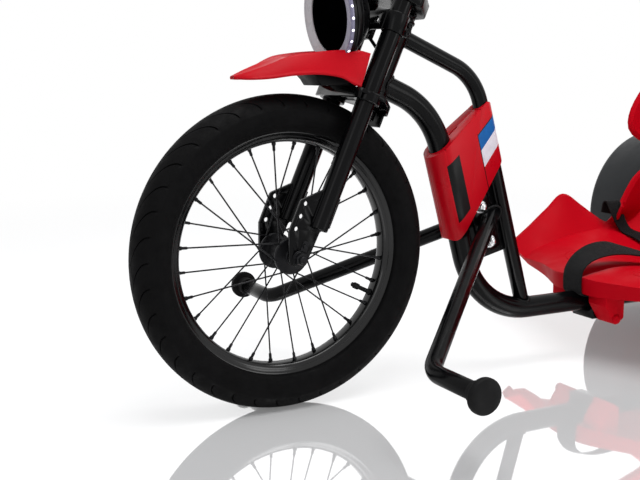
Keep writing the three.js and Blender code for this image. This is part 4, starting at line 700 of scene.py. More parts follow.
def lamp(name, place, target, size, energy):
    data = bpy.data.lights.new(name, "AREA")
    data.shape = "RECTANGLE"
    data.size, data.size_y = size
    data.energy = energy
    heading = (Vector(target) - Vector(place)).normalized()
    turn = heading.to_track_quat("-Z", "Y").to_matrix().to_4x4()
    placed(name, data).matrix_world = Matrix.Translation(place) @ turn


floor()
daylight()
lamp("top", (0.1, 0.5, 2.3), (0.1, 0, 0.2), (2.2, 1.2), 45)
lamp("front", (2.1, 1.7, 1.2), (0.2, 0, 0.3), (0.7, 1.6), 6)
lamp("near", (-1.3, 2.3, 1.1), (-0.1, 0, 0.3), (0.9, 1.5), 14)
scene.view_settings.view_transform = "Standard"


# Front wheel
VALVE_ANGLE = math.radians(-153.5)
SPOKES_A_SIDE = 14


def tyre_shell():
    """A tyre with curved sipes out to its shoulders, plain side walls and beads that sit in the rim."""
    sipes, mid, tall, wide = 38, 179.0, 27.5, 28.5
    seat, heel, lip, toe = 159.8, 152.9, 12.9, 8.5
    columns = [-0.55, 0.55, 1.3, 6.2, 11.6, 17.1, 22.6, 28.0, 32.85]
    cheek = math.acos((seat - mid) / tall)
    outside = []
    for angle in np.linspace(-cheek, cheek, 73):
        ridge, groove = ((abs(angle) - 1.28) / 0.05) ** 2, ((abs(angle) - 1.98) / 0.045) ** 2
        swell = 0.55 * math.exp(-ridge) + 0.5 * math.exp(-groove)
        outside.append((angle, mid + (tall + swell) * math.cos(angle), (wide + swell) * math.sin(angle)))
    inside = [(seat, lip), (heel, lip), (heel, toe)]
    inside += [(mid + 22.5 * math.cos(a), 23.5 * math.sin(a)) for a in np.linspace(cheek, -cheek, 9)]
    inside += [(heel, -toe), (heel, -lip), (seat, -lip)]
    rows = outside + [(None, radius, y) for radius, y in inside]
    verts = []
    for start in turns(sipes):
        for offset in columns:
            for angle, radius, y in rows:
                share = 0 if angle is None else min(1, max(0, (abs(angle) - 0.09) / 1.02))
                turn = start + offset / AXLE_HEIGHT + math.radians(11.5) * (1 - (1 - share) ** 2)
                if angle is not None and abs(offset) < 1:
                    begin = min(1, max(0, (abs(angle) - 0.09) / 0.08))
                    end = min(1, max(0, (1.16 - abs(angle)) / 0.12))
                    cut = 2.0 * begin * end
                    radius, y = radius - cut * math.cos(angle), y - cut * math.sin(angle)
                verts.append(polar(radius, turn, y))
    return Shell(verts, strip(sipes * len(columns), len(rows), wrap_rows=True, wrap_columns=True))


def spoke_shells():
    wires, nipples = [], []
    pitch = FULL_TURN / SPOKES_A_SIDE
    for side in (-1, 1):
        for k in range(SPOKES_A_SIDE):
            odd = k % 2
            hub_angle = VALVE_ANGLE + pitch * (k + (0.25 if side > 0 else 0.75))
            start = polar(20.5, hub_angle, side * (23.5 + (2.2 if odd else -2.2)))
            end = polar(144.9, hub_angle + 2 * pitch * (1 if odd else -1), side * 3)
            head = start - vec(0, side * (3.4 if odd else -3.0), 0)
            heading = (end - start).normalized()
            wires.append(tube(route([head, start, end], [1.8], 4), 1.05, 8, 0.3))
            wires.append(disc(head, head - vec(0, side * (1.2 if odd else -1.2), 0), 2.1, 0.4, 10))
            stops = [end + heading * reach for reach in (-10.5, -9.1, -3.4, -2.8, 0.4)]
            nipples.append(tube(stops, [1.55, 1.95, 1.95, 2.7, 2.9], 10, 0.35))
    return wires, nipples


def valve_shells():
    stem = [(HAIR, 0), (4.6, 0), (4.6, 2.2), (3.1, 3.2), (2.9, 21), (2.2, 22), (2.2, 27), (HAIR, 27)]
    cap = [(2.4, 0), (4.0, 0), (4.3, 0.8), (4.3, 7.4), (3.2, 8.6), (3.0, 10.8), (2.2, 11.6), (HAIR, 11.6)]
    ends = ((145.2, 118, stem), (126, 114.4, cap))
    return [turned(polar(a, VALVE_ANGLE), polar(b, VALVE_ANGLE), profile, 20) for a, b, profile in ends]


def even(half):
    """A closed profile from the half that lies on one side of the wheel's middle."""
    return half + [(r, -y) for r, y in half[1:-1]][::-1]


RIM_HALF = [
    (145.2, 0), (145.4, 4.5), (146.2, 8.2), (148.4, 10.8), (151.6, 12.6), (154.8, 13.9), (156.4, 15.0),
    (157.6, 15.9), (158.6, 16.1), (159.2, 15.6), (159.2, 14.4), (158.6, 13.5), (152.7, 13.2), (149.6, 8),
    (149.2, 0),
]
HUB_HALF = [
    (12.4, 0), (12.6, 8), (13.6, 17), (16.4, 20.8), (22.8, 22), (24, 23), (24, 24.6), (22.6, 25.6),
    (14, 26.2), (10.6, 27.2), (10.6, 30), (9.6, 31), (5.2, 31),
]
hub_profile = [(r, -y) for r, y in HUB_HALF[1:]][::-1] + HUB_HALF
wires, nipples = spoke_shells()
piece("tyre", tyre_shell(), tyre_rubber, "front_tyre", HUB, sharp=50)
piece("wheel_rim", lathe(even(RIM_HALF), 144, True), rim_paint, "front_rim", HUB, sharp=50)
piece("wheel_hub", lathe(hub_profile, 56, True), dark_steel, "front_hub_and_spokes", HUB, sharp=28)
piece("spokes", wires, dark_steel, "front_hub_and_spokes", HUB)
piece("spoke_nipples", nipples, dark_steel, "front_hub_and_spokes", HUB)
piece("valve", valve_shells(), black_plastic, "front_valve", HUB)


# Fork, drawn in its own frame: the steering axis is z, and the front axle is at AXLE_LEAD
LEG_X, LEG_Y = 29.6, 46


def leg_shells(y):
    """A leg with its end plug and rolled foot, and the four beads along its drop-out plate."""
    shells = [
        tube([(LEG_X, y, 43), (LEG_X, y, 377)], 12.7, 44, 1.2, open_radius=10.3),
        disc((LEG_X, y, 375.2), (LEG_X, y, 378.4), 11.4, 1.4, 36),
        disc((LEG_X, y, 46), (LEG_X, y, 44.4), 11.6, 0.5, 36),
    ]
    for edge in (-12.2, 12.2):
        for face in (3.3, -3.3):
            shells.append(bead([(LEG_X + edge, y + face, z) for z in np.linspace(49, 90, 15)], 1.7, 17))
    return shells


def dropout_shell(y):
    corners = [(29.1, -11), (51.1, -11), (67.1, 27), (67.1, 70), (38.7, 96), (20, 92), (20, 48), (26.7, 41)]
    plate = prism(rounded(corners, [10.5, 10.5, 7, 7, 7, 7, 5, 7], 8), y - 2.5, y + 2.5, "xz")
    holes = [drill((59.1, y - 9, z), (59.1, y + 9, z), 3.2) for z in (34, 51, 68)]
    holes.append(drill((AXLE_LEAD, y - 9, 0), (AXLE_LEAD, y + 9, 0), 5.1, 28))
    return carve(plate, holes)


for side, name in SIDES:
    leg = "fork_leg_" + name
    piece(leg + "_tube", leg_shells(side * LEG_Y), black_paint, leg, FORK, sharp=40)
    piece("fork_dropout_" + name, dropout_shell(side * LEG_Y), black_paint, leg, FORK, bevel=0.7)


def axle_shells():
    shells = [tube([(AXLE_LEAD, -61, 0), (AXLE_LEAD, 61, 0)], 4.7, 24, 0.9)]
    for side in (-1, 1):
        def place(y, z=0):
            return vec(AXLE_LEAD, side * y, z)

        shells.append(thread(place(57), place(60.6), 4.75, 1.2))
        shells.append(disc(place(48.8), place(50.6), 11, 0.4, 40))
        tongue = rounded([(35.6, 2), (35.6, 24), (44.6, 24), (44.6, 2)], [0, 3.2, 3.2, 0])
        shells.append(prism(tongue, side * 48.8, side * 50.6, "xz"))
        shells.append(hexagon(place(50.6), place(57.2), 8.6))
        shells.append(disc(place(50.4), place(52.0), 9.6, 0.4, 40))
        shells.append(hexagon(place(50.5, 17.5), place(53, 17.5), 3.4, 0.5))
    return shells


piece("axle_and_nuts", axle_shells(), dark_steel, "front_axle", FORK, sharp=28)


def crown_outline(front, half, shoulder, rear):
    points = [(front, -half), (front, half), (shoulder, half), (-rear, 24), (-rear, -24), (shoulder, -half)]
    return rounded(points, 12, 7)


def leg_bores(low, high):
    return [drill((LEG_X, y, low), (LEG_X, y, high), 12.9, 44) for y in (-LEG_Y, LEG_Y)]


def lower_crown_shell():
    """A pressed tray, hollow from below, with a slot beside each leg."""
    tray = prism(crown_outline(52, 62, 11, 21), 217, 229.5)
    inner = prism(crown_outline(47, 74, 16, 18.5), 205, 224.5)
    slots = [prism(rounded(rectangle(28.5, y - 7.5, 39.5, y + 7.5), 3), 200, 240) for y in (-20, 20)]
    return carve(tray, [inner] + slots + leg_bores(200, 240))


collars = [disc((LEG_X, y, 217), (LEG_X, y, 229.8), 17.7, 0.9, 44, bore=12.8) for y in (-LEG_Y, LEG_Y)]
collars += [ring_bead((LEG_X, y, 230.2), (0, 0, 1), 12.9, 1.5) for y in (-LEG_Y, LEG_Y)]
collars += [
    disc((0, 0, 217), (0, 0, 231), 16.7, 0.8, 40, bore=13.6),
    tube([(0, 0, 206), (0, 0, 381)], 14.2, 40, 0.8, open_radius=11.2),
    prism(rectangle(-21, -15, -18.5, 15), 201, 227),
    disc((0, 0, 375.5), (0, 0, 382), 16.2, 1.2, 40),
    hexagon((0, 0, 382), (0, 0, 385), 5.2, 0.8),
]
piece("fork_crown_low", lower_crown_shell(), black_paint, "lower_crown", FORK, bevel=0.8)
piece("fork_crown_low_collars", collars, black_paint, "lower_crown", FORK, sharp=35)

stem = rounded(rectangle(-3, -24, 31, 24), 5, 6)
bar_bore = drill((14, -60, 411), (14, 60, 411), 11.2, 48)
steerer_bore = drill((0, 0, 340), (0, 0, 400), 14.4, 44)
upper = carve(prism(crown_outline(46, 62, 11, 22), 355.5, 374.5), leg_bores(340, 400) + [steerer_bore])
piece("fork_crown_high", upper, black_paint, "upper_crown", FORK, bevel=1.6, steps=3)
STEM_BLOCKS = (("stem_riser", "upper_crown", 368, 410), ("stem_clamp_cap", "stem_cap", 412, 430.1))
for name, node, low, high in STEM_BLOCKS:
    piece(name, carve(prism(stem, low, high), [bar_bore]), black_paint, node, FORK, bevel=1.4, steps=3)

bolts = []
for x in (-0.8, 28.8):
    for y in (-15.5, 15.5):
        bolts += socket_bolt((x, y, 429.4), (x, y, 433.0), 3.9)
for y in (LEG_Y, -LEG_Y):
    bolts += socket_bolt((47.5, y, 365), (50.4, y, 365), 3.6)
piece("stem_bolts", bolts, dark_steel, place=FORK, slot="dark_steel", body="fork")


# Head tube and headset
HEAD_PROFILE = [
    (15.4, 241), (19.0, 241), (19.4, 241.8), (19.4, 248), (18.2, 251), (18.0, 254), (18.0, 332), (18.2, 335),
    (19.4, 338), (19.4, 344.2), (19.0, 345), (15.4, 345),
]
TOP_CUP = [
    (14.5, 345.3), (20.5, 345.3), (20.8, 345.9), (20.8, 347.6), (20.2, 348.3), (19, 349), (18.6, 351.4),
    (19.2, 352.4), (19.2, 353.9), (18.6, 354.5), (14.5, 354.5),
]
LOW_CUP = [
    (14.5, 229.8), (18.6, 229.8), (19.2, 230.6), (19.2, 232), (18.6, 233.6), (18.6, 236), (20.2, 237.4),
    (20.8, 238.2), (20.8, 240), (20.4, 240.7), (14.5, 240.7),
]
for name, profile, surface, node in (
    ("head_tube_body", HEAD_PROFILE, black_paint, "head_tube"),
    ("headset_top", TOP_CUP, dark_steel, "headset_upper_cup"),
    ("headset_low", LOW_CUP, dark_steel, "headset_lower_cup"),
):
    piece(name, lathe(profile, 60, True), surface, node, FORK @ UPRIGHT, sharp=28)


# Frame tubes: the front one bends down, runs under the seat and ends on the rear beam
BEAM_X, BEAM_Z = -1031, 160
BEAM = vec(BEAM_X, 0, BEAM_Z)
FLOOR_RUN = 91
FRONT_TOP_X, FRONT_TOP_Z, FRONT_LOW_X = -227.8, 387.7, -311.2
REAR_TOP_X, REAR_TOP_Z, REAR_LOW_X = -298.4, 433.6, -397.6
FRONT_TOP, FRONT_LOW = vec(FRONT_TOP_X, 0, FRONT_TOP_Z), vec(FRONT_LOW_X, 0, FLOOR_RUN)
REAR_TOP, REAR_LOW = vec(REAR_TOP_X, 0, REAR_TOP_Z), vec(REAR_LOW_X, 0, FLOOR_RUN)
FRONT_RADIUS, REAR_RADIUS = 15.9, 11.1


def front_tube_x(z):
    return FRONT_TOP_X + (FRONT_LOW_X - FRONT_TOP_X) * (FRONT_TOP_Z - z) / (FRONT_TOP_Z - FLOOR_RUN)


def rear_tube_x(z):
    return REAR_TOP_X + (REAR_LOW_X - REAR_TOP_X) * (REAR_TOP_Z - z) / (REAR_TOP_Z - FLOOR_RUN)


def beam_drill(radius, reach, segments=48):
    """A cutter along the rear beam's axis."""
    return drill((BEAM_X, -reach, BEAM_Z), (BEAM_X, reach, BEAM_Z), radius, segments)


front_corners = [FORK @ vec(0, 0, 256.7), FRONT_TOP, FRONT_LOW, vec(-925, 0, FLOOR_RUN), BEAM]
rear_corners = [FORK @ vec(0, 0, 326.9), REAR_TOP, REAR_LOW]
front_points = route(front_corners, [115, 120, 90], 16)
rear_points = route(rear_corners, [80], 16)
head_room = drill((0, 0, 60), (0, 0, 600), 17.6, 60).moved(FORK)
main_tube = carve(tube(front_points, FRONT_RADIUS, 44), [head_room, beam_drill(16.4, 60, 60)])
down_tube = carve(tube(rear_points, REAR_RADIUS, 36), [head_room])
piece("main_tube", main_tube, black_paint, "frame_front_tube", sharp=45)
piece("down_tube", down_tube, black_paint, "frame_rear_tube", sharp=45)

head_foot, head_up = FORK @ vec(0, 0, 0), (FORK.to_3x3() @ vec(0, 0, 1)).normalized()
welds = []
for end, next_one, radius, foot, axis, reach, size in (
    (front_corners[0], FRONT_TOP, FRONT_RADIUS, head_foot, head_up, 18.0, 2.4),
    (rear_corners[0], REAR_TOP, REAR_RADIUS, head_foot, head_up, 18.0, 2.2),
    (REAR_LOW, REAR_TOP, REAR_RADIUS, vec(-500, 0, FLOOR_RUN), vec(1, 0, 0), FRONT_RADIUS, 2.2),
    (BEAM, front_corners[3], FRONT_RADIUS, BEAM, vec(0, 1, 0), 17.0, 2.4),
):
    welds.append(joint_bead(end, next_one - end, radius, foot, axis, reach, size))
for y in (4.0, -4.0):
    welds.append(bead([(front_tube_x(z) - 15.4, y, z) for z in np.linspace(166, 316, 40)], 1.8, 50))
    welds.append(bead([(rear_tube_x(z) + 10.6, y, z) for z in np.linspace(186, 316, 36)], 1.8, 44))
piece("frame_welds", welds, black_paint, slot="frame_paint", body="frame", sharp=60)
plate = [(front_tube_x(z) - 6, z) for z in (168, 318)] + [(rear_tube_x(z) + 4, z) for z in (318, 185.5)]
piece("gusset", prism(plate, -3, 3, "xz"), black_paint, "gusset_plate", bevel=0.6)


# Footrests
PEG_X, PEG_Z = -83, 95
PEG_BOLTS = (("upper", -308, 249.5), ("lower", -326, 198.5))
CAP_PROFILE = [
    (HAIR, 0), (11.4, 0), (12.6, 0.2), (20.2, 0.2), (21.0, 0.8), (21.2, 2.0), (21.2, 3.4), (20.7, 3.9),
    (20.7, 4.5), (21.2, 5.0), (21.0, 6.6), (20.0, 7.9), (17.6, 8.7), (12, 9.0), (HAIR, 9.0),
]


def footrest_shells(side):
    """The bolted plate, and the bent bar with its weld on that plate."""
    upper_hole, lower_hole = [vec(x, 0, z) for _, x, z in PEG_BOLTS]
    lean = (upper_hole - lower_hole).normalized()
    across = vec(lean.z, 0, -lean.x) * 17
    top_end, low_end = upper_hole + lean * 15, lower_hole - lean * 15
    corners = [top_end + across, top_end - across, low_end - across, low_end + across]
    plate = prism(rounded([(p.x, p.z) for p in corners], 8, 6), side * 3.3, side * 8.3, "xz")
    start, bend = vec(-337, 0, 241), vec(PEG_X, side * 225, PEG_Z)
    points = route([start, bend, (PEG_X, side * 324, PEG_Z)], [40], 14)
    low, high = sorted((side * 7.6, -side * 90))
    bar = carve(tube(points, 11.1, 36), [prism(rectangle(-500, low, -200, high), 100, 340)])
    return plate, [bar, joint_plane_bead(start, bend - start, 11.1, side * 8.4, 2.2)]


for side, name in SIDES:
    plate, bar = footrest_shells(side)
    piece("footrest_plate_" + name, plate, black_paint, "footrest_bar_" + name, bevel=0.7)
    piece("footrest_tube_" + name, bar, black_paint, "footrest_bar_" + name, sharp=45)
    stops = [(PEG_X, side * y, PEG_Z) for y in (309, 325, 324.3, 400)]
    pad = [turned(stops[2], stops[3], CAP_PROFILE, 64), tube(stops[:2], 13.2, 36, 1.2)]
    piece("footrest_pad_" + name, pad, grip_rubber, "footrest_cap_" + name, sharp=32)
for name, x, z in PEG_BOLTS:
    parts = []
    for side in (-1, 1):
        stops = [(x, side * y, z) for y in (8.5, 9.8, 15.4, 15.0, 30)]
        parts.append(disc(stops[0], stops[1], 9.4, 0.3, 32))
        parts.append(hexagon(stops[1], stops[2], 7.4))
        dome = [(6.0, 0), (5.7, 1.8), (4.6, 3.2), (2.6, 4.1), (HAIR, 4.4)]
        parts.append(turned(stops[3], stops[4], dome, 24))
    piece("footrest_bolt_" + name, parts, bright_steel, "peg_bolt_" + name, sharp=28)


# The shroud round both tubes, in two halves
LEAN = math.atan2(FRONT_TOP_X - FRONT_LOW_X, FRONT_TOP_Z - FLOOR_RUN)
TUBE_SPAN = (front_tube_x(318) - rear_tube_x(318)) * math.cos(LEAN)
ALONG_TUBES = Matrix((
    (-math.cos(LEAN), 0, math.sin(LEAN), front_tube_x(FLOOR_RUN)), (0, 1, 0, 0),
    (math.sin(LEAN), 0, math.cos(LEAN), FLOOR_RUN), (0, 0, 0, 1),
))


def cover_body(inset):
    """The band drawn round both tubes, pushed along them."""
    nose, tail = 24.5 - inset, 13.6 - inset
    lean = math.asin((nose - tail) / TUBE_SPAN)
    points = []
    for k in range(29):
        angle = math.pi / 2 - lean + (math.pi + 2 * lean) * k / 28
        points.append((nose * math.cos(angle), nose * math.sin(angle)))
    for k in range(21):
        angle = -math.pi / 2 - lean + (math.pi - 2 * lean) * (k / 20) + 2 * lean
        points.append((TUBE_SPAN + tail * math.cos(angle), tail * math.sin(angle)))
    return prism(points, -60, 460).moved(ALONG_TUBES)


def cover_half(side):
    """Half a shroud: hollow, with room for the tubes and gusset, and a slot and two seams on its slope."""
    corners = [(-214, 317), (-313, 400), (-330, 393), (-345, 318), (-262, 203), (-240, 214)]
    outer = prism(rounded(corners, [9, 8, 8, 8, 9, 8], 7), side * 0.15, side * 40, "xz")
    inside = [(-216.6, 311.8), (-310.4, 394.8), (-327.4, 390.4), (-339.8, 320.6)]
    hollow = prism(inside + [(-263.3, 208.2), (-242.6, 216.6)], -side * 12, side * 24.5, "xz")
    slope = Matrix.Translation((-263.5, 0, 358.5)) @ Matrix.Rotation(math.atan2(83, 99), 4, "Y")
    low, high = 202, 318.3
    notch = [(-345, low), (front_tube_x(low) - 4, low), (front_tube_x(high) - 4, high), (-345, high)]
    seams = [prism(rectangle(x - 0.5, -30, x + 0.5, 30), -1.4, 6).moved(slope) for x in (-46, 37)]
    shell = combine(outer, [cover_body(0)], "INTERSECT")
    shell = carve(shell, [
        combine(hollow, [cover_body(2.6)], "INTERSECT"),
        tube(front_points, 16.2, 44),
        tube(rear_points, 11.4, 36),
        prism(notch, -8.9, 8.9, "xz"),
        prism(rounded(rectangle(-8.5, -1.7, 8.5, 1.7), 1.2), -12, 12).moved(slope),
    ])
    return carve(shell, seams)


def cover_plastic():
    """Red plastic with a black band, a thin black line and three slanting stripes, along the tubes."""
    recipe = finish("cover_plastic", RED, 0.36, depth=0.06, specular=0.14, scuff=0.02, **RED_MOULDING)
    axes = recipe.add("SeparateXYZ", {"Vector": recipe.where})
    x, z = axes.outputs["X"], axes.outputs["Z"]

    def combo(a, first, b, second, c):
        return recipe.math("MULTIPLY_ADD", second, b, recipe.math("MULTIPLY_ADD", first, a, c))

    def both(*gates):
        result = gates[0]
        for gate in gates[1:]:
            result = recipe.math("MULTIPLY", result, gate)
        return result

    def over(value, limit):
        return recipe.math("GREATER_THAN", value, limit)

    def under(value, limit):
        return recipe.math("LESS_THAN", value, limit)

    cosine, sine = math.cos(LEAN), math.sin(LEAN)
    foot = front_tube_x(FLOOR_RUN) + SHIFT
    back = combo(-1000 * cosine, x, 1000 * sine, z, foot * cosine - FLOOR_RUN * sine)
    up = combo(1000 * sine, x, 1000 * cosine, z, -foot * sine - FLOOR_RUN * cosine)

    def slanted(slope, back_at):
        return combo(1, up, -slope, back, slope * back_at)

    stripe_back, line_back = 54.8, 53.4
    blue_top, blue_foot = slanted(0.52, stripe_back), slanted(0.62, stripe_back)
    wear = recipe.spread(recipe.noise(90, 5), 0, 1)
    black = recipe.mixed(wear, (0.001, 0.001, 0.0012), (0.003, 0.003, 0.0033))
    white = recipe.mixed(wear, (0.66, 0.62, 0.68), (0.76, 0.72, 0.78))
    blue = recipe.mixed(wear, (0.003, 0.085, 0.3), (0.006, 0.11, 0.36))
    stripe = over(back, stripe_back)
    tone = recipe.shader.inputs["Base Color"].links[0].from_socket
    band = both(over(back, -9.6), under(back, 14))
    for gate, colour in (
        (both(stripe, over(blue_foot, 233.5), under(blue_top, 255.5)), blue),
        (both(stripe, over(slanted(0.67, stripe_back), 209.2), under(blue_foot, 233.5)), white),
        (both(band, over(slanted(0.58, 0), 153.6), under(slanted(0.43, 0), 235.4)), black),
        (both(over(back, line_back), under(back, stripe_back), under(up, 257.7)), black),
        (both(over(back, line_back), over(blue_top, 255.5), under(blue_top, 257.2)), black),
    ):
        tone = recipe.mixed(gate, tone, colour)
    recipe.set(Base_Color=tone)
    return recipe.surface


striped = cover_plastic()
for side, name in SIDES:
    piece("shroud_" + name, cover_half(side), striped, "tube_cover_" + name, bevel=0.45, sharp=38, steps=3)


# Mudguard: a station gives the crest's back and up, the ridge's out and up, and the edge's back, out and up
FENDER_SHARES = (
    (0.00, 0.05, 0.08, 0.03, 0.00, 0.12, -0.03), (0.10, 0.28, 0.26, 0.19, 0.10, 0.42, -0.05),
    (0.23, 0.53, 0.42, 0.43, 0.23, 0.64, -0.01), (0.39, 0.74, 0.56, 0.76, 0.39, 0.80, 0.10),
    (0.57, 0.50, 0.68, 0.90, 0.57, 0.90, 0.14), (0.74, 0.24, 0.78, 0.97, 0.74, 0.96, 0.03),
    (0.89, 0.14, 0.86, 0.98, 0.84, 1.00, -0.22), (1.00, 0.12, 0.90, 0.86, 0.905, 1.00, -0.36),
)
FENDER_TIP, FENDER_LENGTH, FENDER_HALF, FENDER_FOOT, FENDER_RISE = 69, 172, 51, 434, 34


def fender_shell():
    """A thin guard: a dished crest, a ridge on each side and a rolled edge."""
    def place(back, across, up):
        return vec(FENDER_TIP - back * FENDER_LENGTH, across * FENDER_HALF, FENDER_FOOT + up * FENDER_RISE)

    rows = []
    for crest_back, crest_up, ridge_out, ridge_up, edge_back, edge_out, edge_up in FENDER_SHARES:
        ridge = place(crest_back, ridge_out, ridge_up)
        rows.append([place(crest_back, 0, crest_up), ridge, place(edge_back, edge_out, edge_up)])
    grid = []
    for crest, ridge, edge in smooth_rows(rows, 7):
        dip = -1.6 * min(1, (FENDER_TIP - crest.x) / 60)
        half = []
        for t in (0, 0.2, 0.4, 0.6, 0.8, 0.93):
            half.append(crest.lerp(ridge, t) + vec(0, 0, dip * math.sin(math.pi * t)))
        half.append(ridge)
        for t in (0.12, 0.35, 0.6, 0.82, 0.95):
            half.append(ridge.lerp(edge, t) + vec(0, 1.1 * math.sin(math.pi * t), 0))
        grid.append(whole(half + [edge + vec(0, 0.5, 0), edge + vec(0, -0.5, -2.2)]))
    return thick(grid, 2.6)


LAMP_GAP = 0.6
room_back, room_side, room_front = -46 - LAMP_GAP, 63.7 + LAMP_GAP, 3 + LAMP_GAP
lamp_room = [(HAIR, room_back), (34 + LAMP_GAP, room_back), (room_side, -12 - LAMP_GAP)]
lamp_room = lathe(lamp_room + [(room_side, room_front), (HAIR, room_front)], 64).moved(LAMP)
foot = [(-26, 442), (-38, 430), (-43, 422.6), (-79, 422.9), (-92, 417.7), (-98, 436)]
foot = prism(rounded(foot + [(-58, 439.8), (-30, 449)], 3), -26, 26, "xz")
piece("mudguard_shell", carve(fender_shell(), [lamp_room]), red_gloss, "mudguard", sharp=30, bevel=0.5)
# Painted shade: the foot belongs to the one red mudguard moulding and is given black plastic to stand for
# its underside in shadow.
piece("mudguard_foot_painted_shade", carve(foot, [lamp_room]), black_plastic, "mudguard", bevel=1.2, steps=3)


# Headlight, turned about the lamp's own axis
LAMP_BODY = [
    (HAIR, -46), (12, -46), (13, -45.2), (13, -43.6), (26, -43.4), (33, -42), (38.5, -38.5), (46, -31),
    (53.6, -22.5), (59.4, -15.5), (62.4, -11), (63.4, -6), (63.5, -2.5), (63.1, -2.1), (60.7, -2.1),
    (60.7, -10), (58, -14), (HAIR, -14),
]
LAMP_TRIM = [(62.4, -9.5), (64.0, -9.5), (64.4, -9), (64.4, -7.6), (64.0, -7.1), (62.4, -7.1)]
LIGHT_FACE = [
    (47.9, -6), (60.5, -6), (60.5, 2.3), (57, 1.6), (52, 0.8), (49, 0.4), (48.2, 0.2), (47.9, -0.4),
]
LIGHT_RIM = [
    (60.75, -1.8), (64.2, -1.8), (64.4, -1.2), (64.4, 1.6), (64.0, 2.8), (63.0, 3.3), (61.8, 3.2),
    (60.75, 2.4),
]
BOWL = [
    (HAIR, -9), (47.2, -9), (47.2, -1.2), (46.2, -0.4), (44.6, -0.9), (42.6, -3.2), (36, -5.6), (27, -6.6),
    (20.6, -6.2), (19.6, -3.2), (18.9, -2.4), (17.8, -2.7), (17.2, -4.2), (HAIR, -4.2),
]
EYE = [(16.8, -5), (16.2, -2.6), (13.6, -0.4), (9, 1.2), (4.4, 2.0), (HAIR, 2.2)]
housing = [lathe(LAMP_BODY, 120), lathe(LAMP_TRIM, 120, True)]
for k in range(5):
    back = 3.2 * k
    housing.append(disc((0, -20 - back, 0), (0, -18.6 - back, 0), 56.5 - back, 0.4, 96, bore=30))
dots = []
for angle in turns(27):
    start, end = [polar(radius, angle + math.radians(199), 0.2) for radius in (64.0, 66)]
    dots.append(turned(start, end, [(1.9, 0), (1.8, 0.6), (1.3, 1.0), (HAIR, 1.2)], 12))
lens = [lathe(BOWL, 120), lathe(EYE, 64)]
piece("lamp_housing", housing, lamp_case, "headlight_housing", LAMP, sharp=34)
piece("lamp_light_rim", lathe(LIGHT_RIM, 144, True), halo_ring, "headlight_housing", LAMP, sharp=50)
piece("lamp_light_ring", lathe(LIGHT_FACE, 144, True), halo_ring, "headlight_ring", LAMP, sharp=40)
piece("lamp_led_dots", dots, led_light, "headlight_housing", LAMP, sharp=60)
piece("lamp_lens_and_bowl", lens, lamp_black, "headlight_lens", LAMP, sharp=30)

# The lamp's bracket, drawn in the fork's frame
low, high = 312, 338
clamps, screws = [], []
for side in (-1, 1):
    y = side * LEG_Y
    clamps.append(disc((LEG_X, y, low), (LEG_X, y, high), 15.7, 0.8, 48, bore=12.9))
    ear = rounded([(5.9, 315), (18, 315), (18, 335), (5.9, 335)], [4, 0, 0, 4])
    clamps.append(prism(ear, y - 3.5, y + 3.5, "xz"))
    for z in (319.5, 330.5):
        screws += socket_bolt((11, y + side * 3.4, z), (11, y + side * 6.6, z), 3.2)
        screws.append(hexagon((11, y - side * 3.4, z), (11, y - side * 6.2, z), 3.6, 0.5))
plate = prism(rectangle(42.6, -LEG_Y, 46.6, LEG_Y), low, high)
plate = carve(plate, [drill((30, y, 325), (60, y, 325), 4.2, 28) for y in (-26, 26)])
lamp_back = FORK.inverted() @ (LAMP @ vec(0, -12, 0))
boss = tube([(44, 0, lamp_back.z - 4), lamp_back], 11.3, 40, 0.6)
boss = carve(boss, [lamp_room.moved(FORK.inverted())])
strut = tube(route([(11.4, -46, 319), (-9, -34, 302), (-4, -30, 229.8)], [12]), 2.4, 20, 0.4)
screws.append(hexagon((42.6, 0, lamp_back.z - 4), (38.2, 0, lamp_back.z - 4), 7.4))
piece("lamp_bracket_clamps", clamps, black_paint, "headlight_bracket", FORK, bevel=0.5, sharp=40)
piece("lamp_bracket_plate", plate, black_paint, "headlight_bracket", FORK, bevel=0.7)
piece("lamp_bracket_stem", [boss, strut], black_paint, "headlight_bracket", FORK, sharp=40)
piece("lamp_bracket_screws", screws, dark_steel, "headlight_bracket", FORK, sharp=28)


# Handlebar, grips and switch pod
BAR_RADIUS, BRACE_RADIUS = 11.1, 6.4
BAR_BORE = 11.4
BAR_FOOT_Z, BAR_BEND_Z = 411, 560


def bar_corners(side):
    return [vec(14, side * 46, BAR_FOOT_Z), vec(-12, side * 150, BAR_BEND_Z), vec(-72, side * 345, 577)]


bar_points = route(bar_corners(-1)[::-1] + bar_corners(1), [46, 46, 46, 46], 14)
BRACE_RISE = 104 / (BAR_BEND_Z - BAR_FOOT_Z)
brace_ends = [bar_corners(side)[0].lerp(bar_corners(side)[1], BRACE_RISE) for side in (1, -1)]
brace = [carve(tube(brace_ends, BRACE_RADIUS, 28), [tube(bar_points, BAR_RADIUS - 0.7, 36)])]
for end, other, side in ((brace_ends[0], brace_ends[1], 1), (brace_ends[1], brace_ends[0], -1)):
    clamp_end, bend = bar_corners(side)[:2]
    axis = (bend - clamp_end).normalized()
    heading = (other - end).normalized()
    brace.append(joint_bead(end, heading, BRACE_RADIUS, clamp_end, axis, BAR_RADIUS, 1.6))
piece("bar_tube", tube(bar_points, BAR_RADIUS, 40), black_paint, "handlebar", FORK, sharp=50)
piece("bar_brace", brace, black_paint, "handlebar", FORK, sharp=50)


def grip_frame(side):
    """The frame of a bar end: y runs out along the bar, and its origin is the bar's tip."""
    corners = bar_corners(side)
    outward = (corners[2] - corners[1]).normalized()
    forward = outward.cross(vec(0, 0, side)).normalized()
    columns = (forward, outward, forward.cross(outward), corners[2])
    return FORK @ Matrix([[column[k] for column in columns] for k in range(3)] + [[0, 0, 0, 1]])


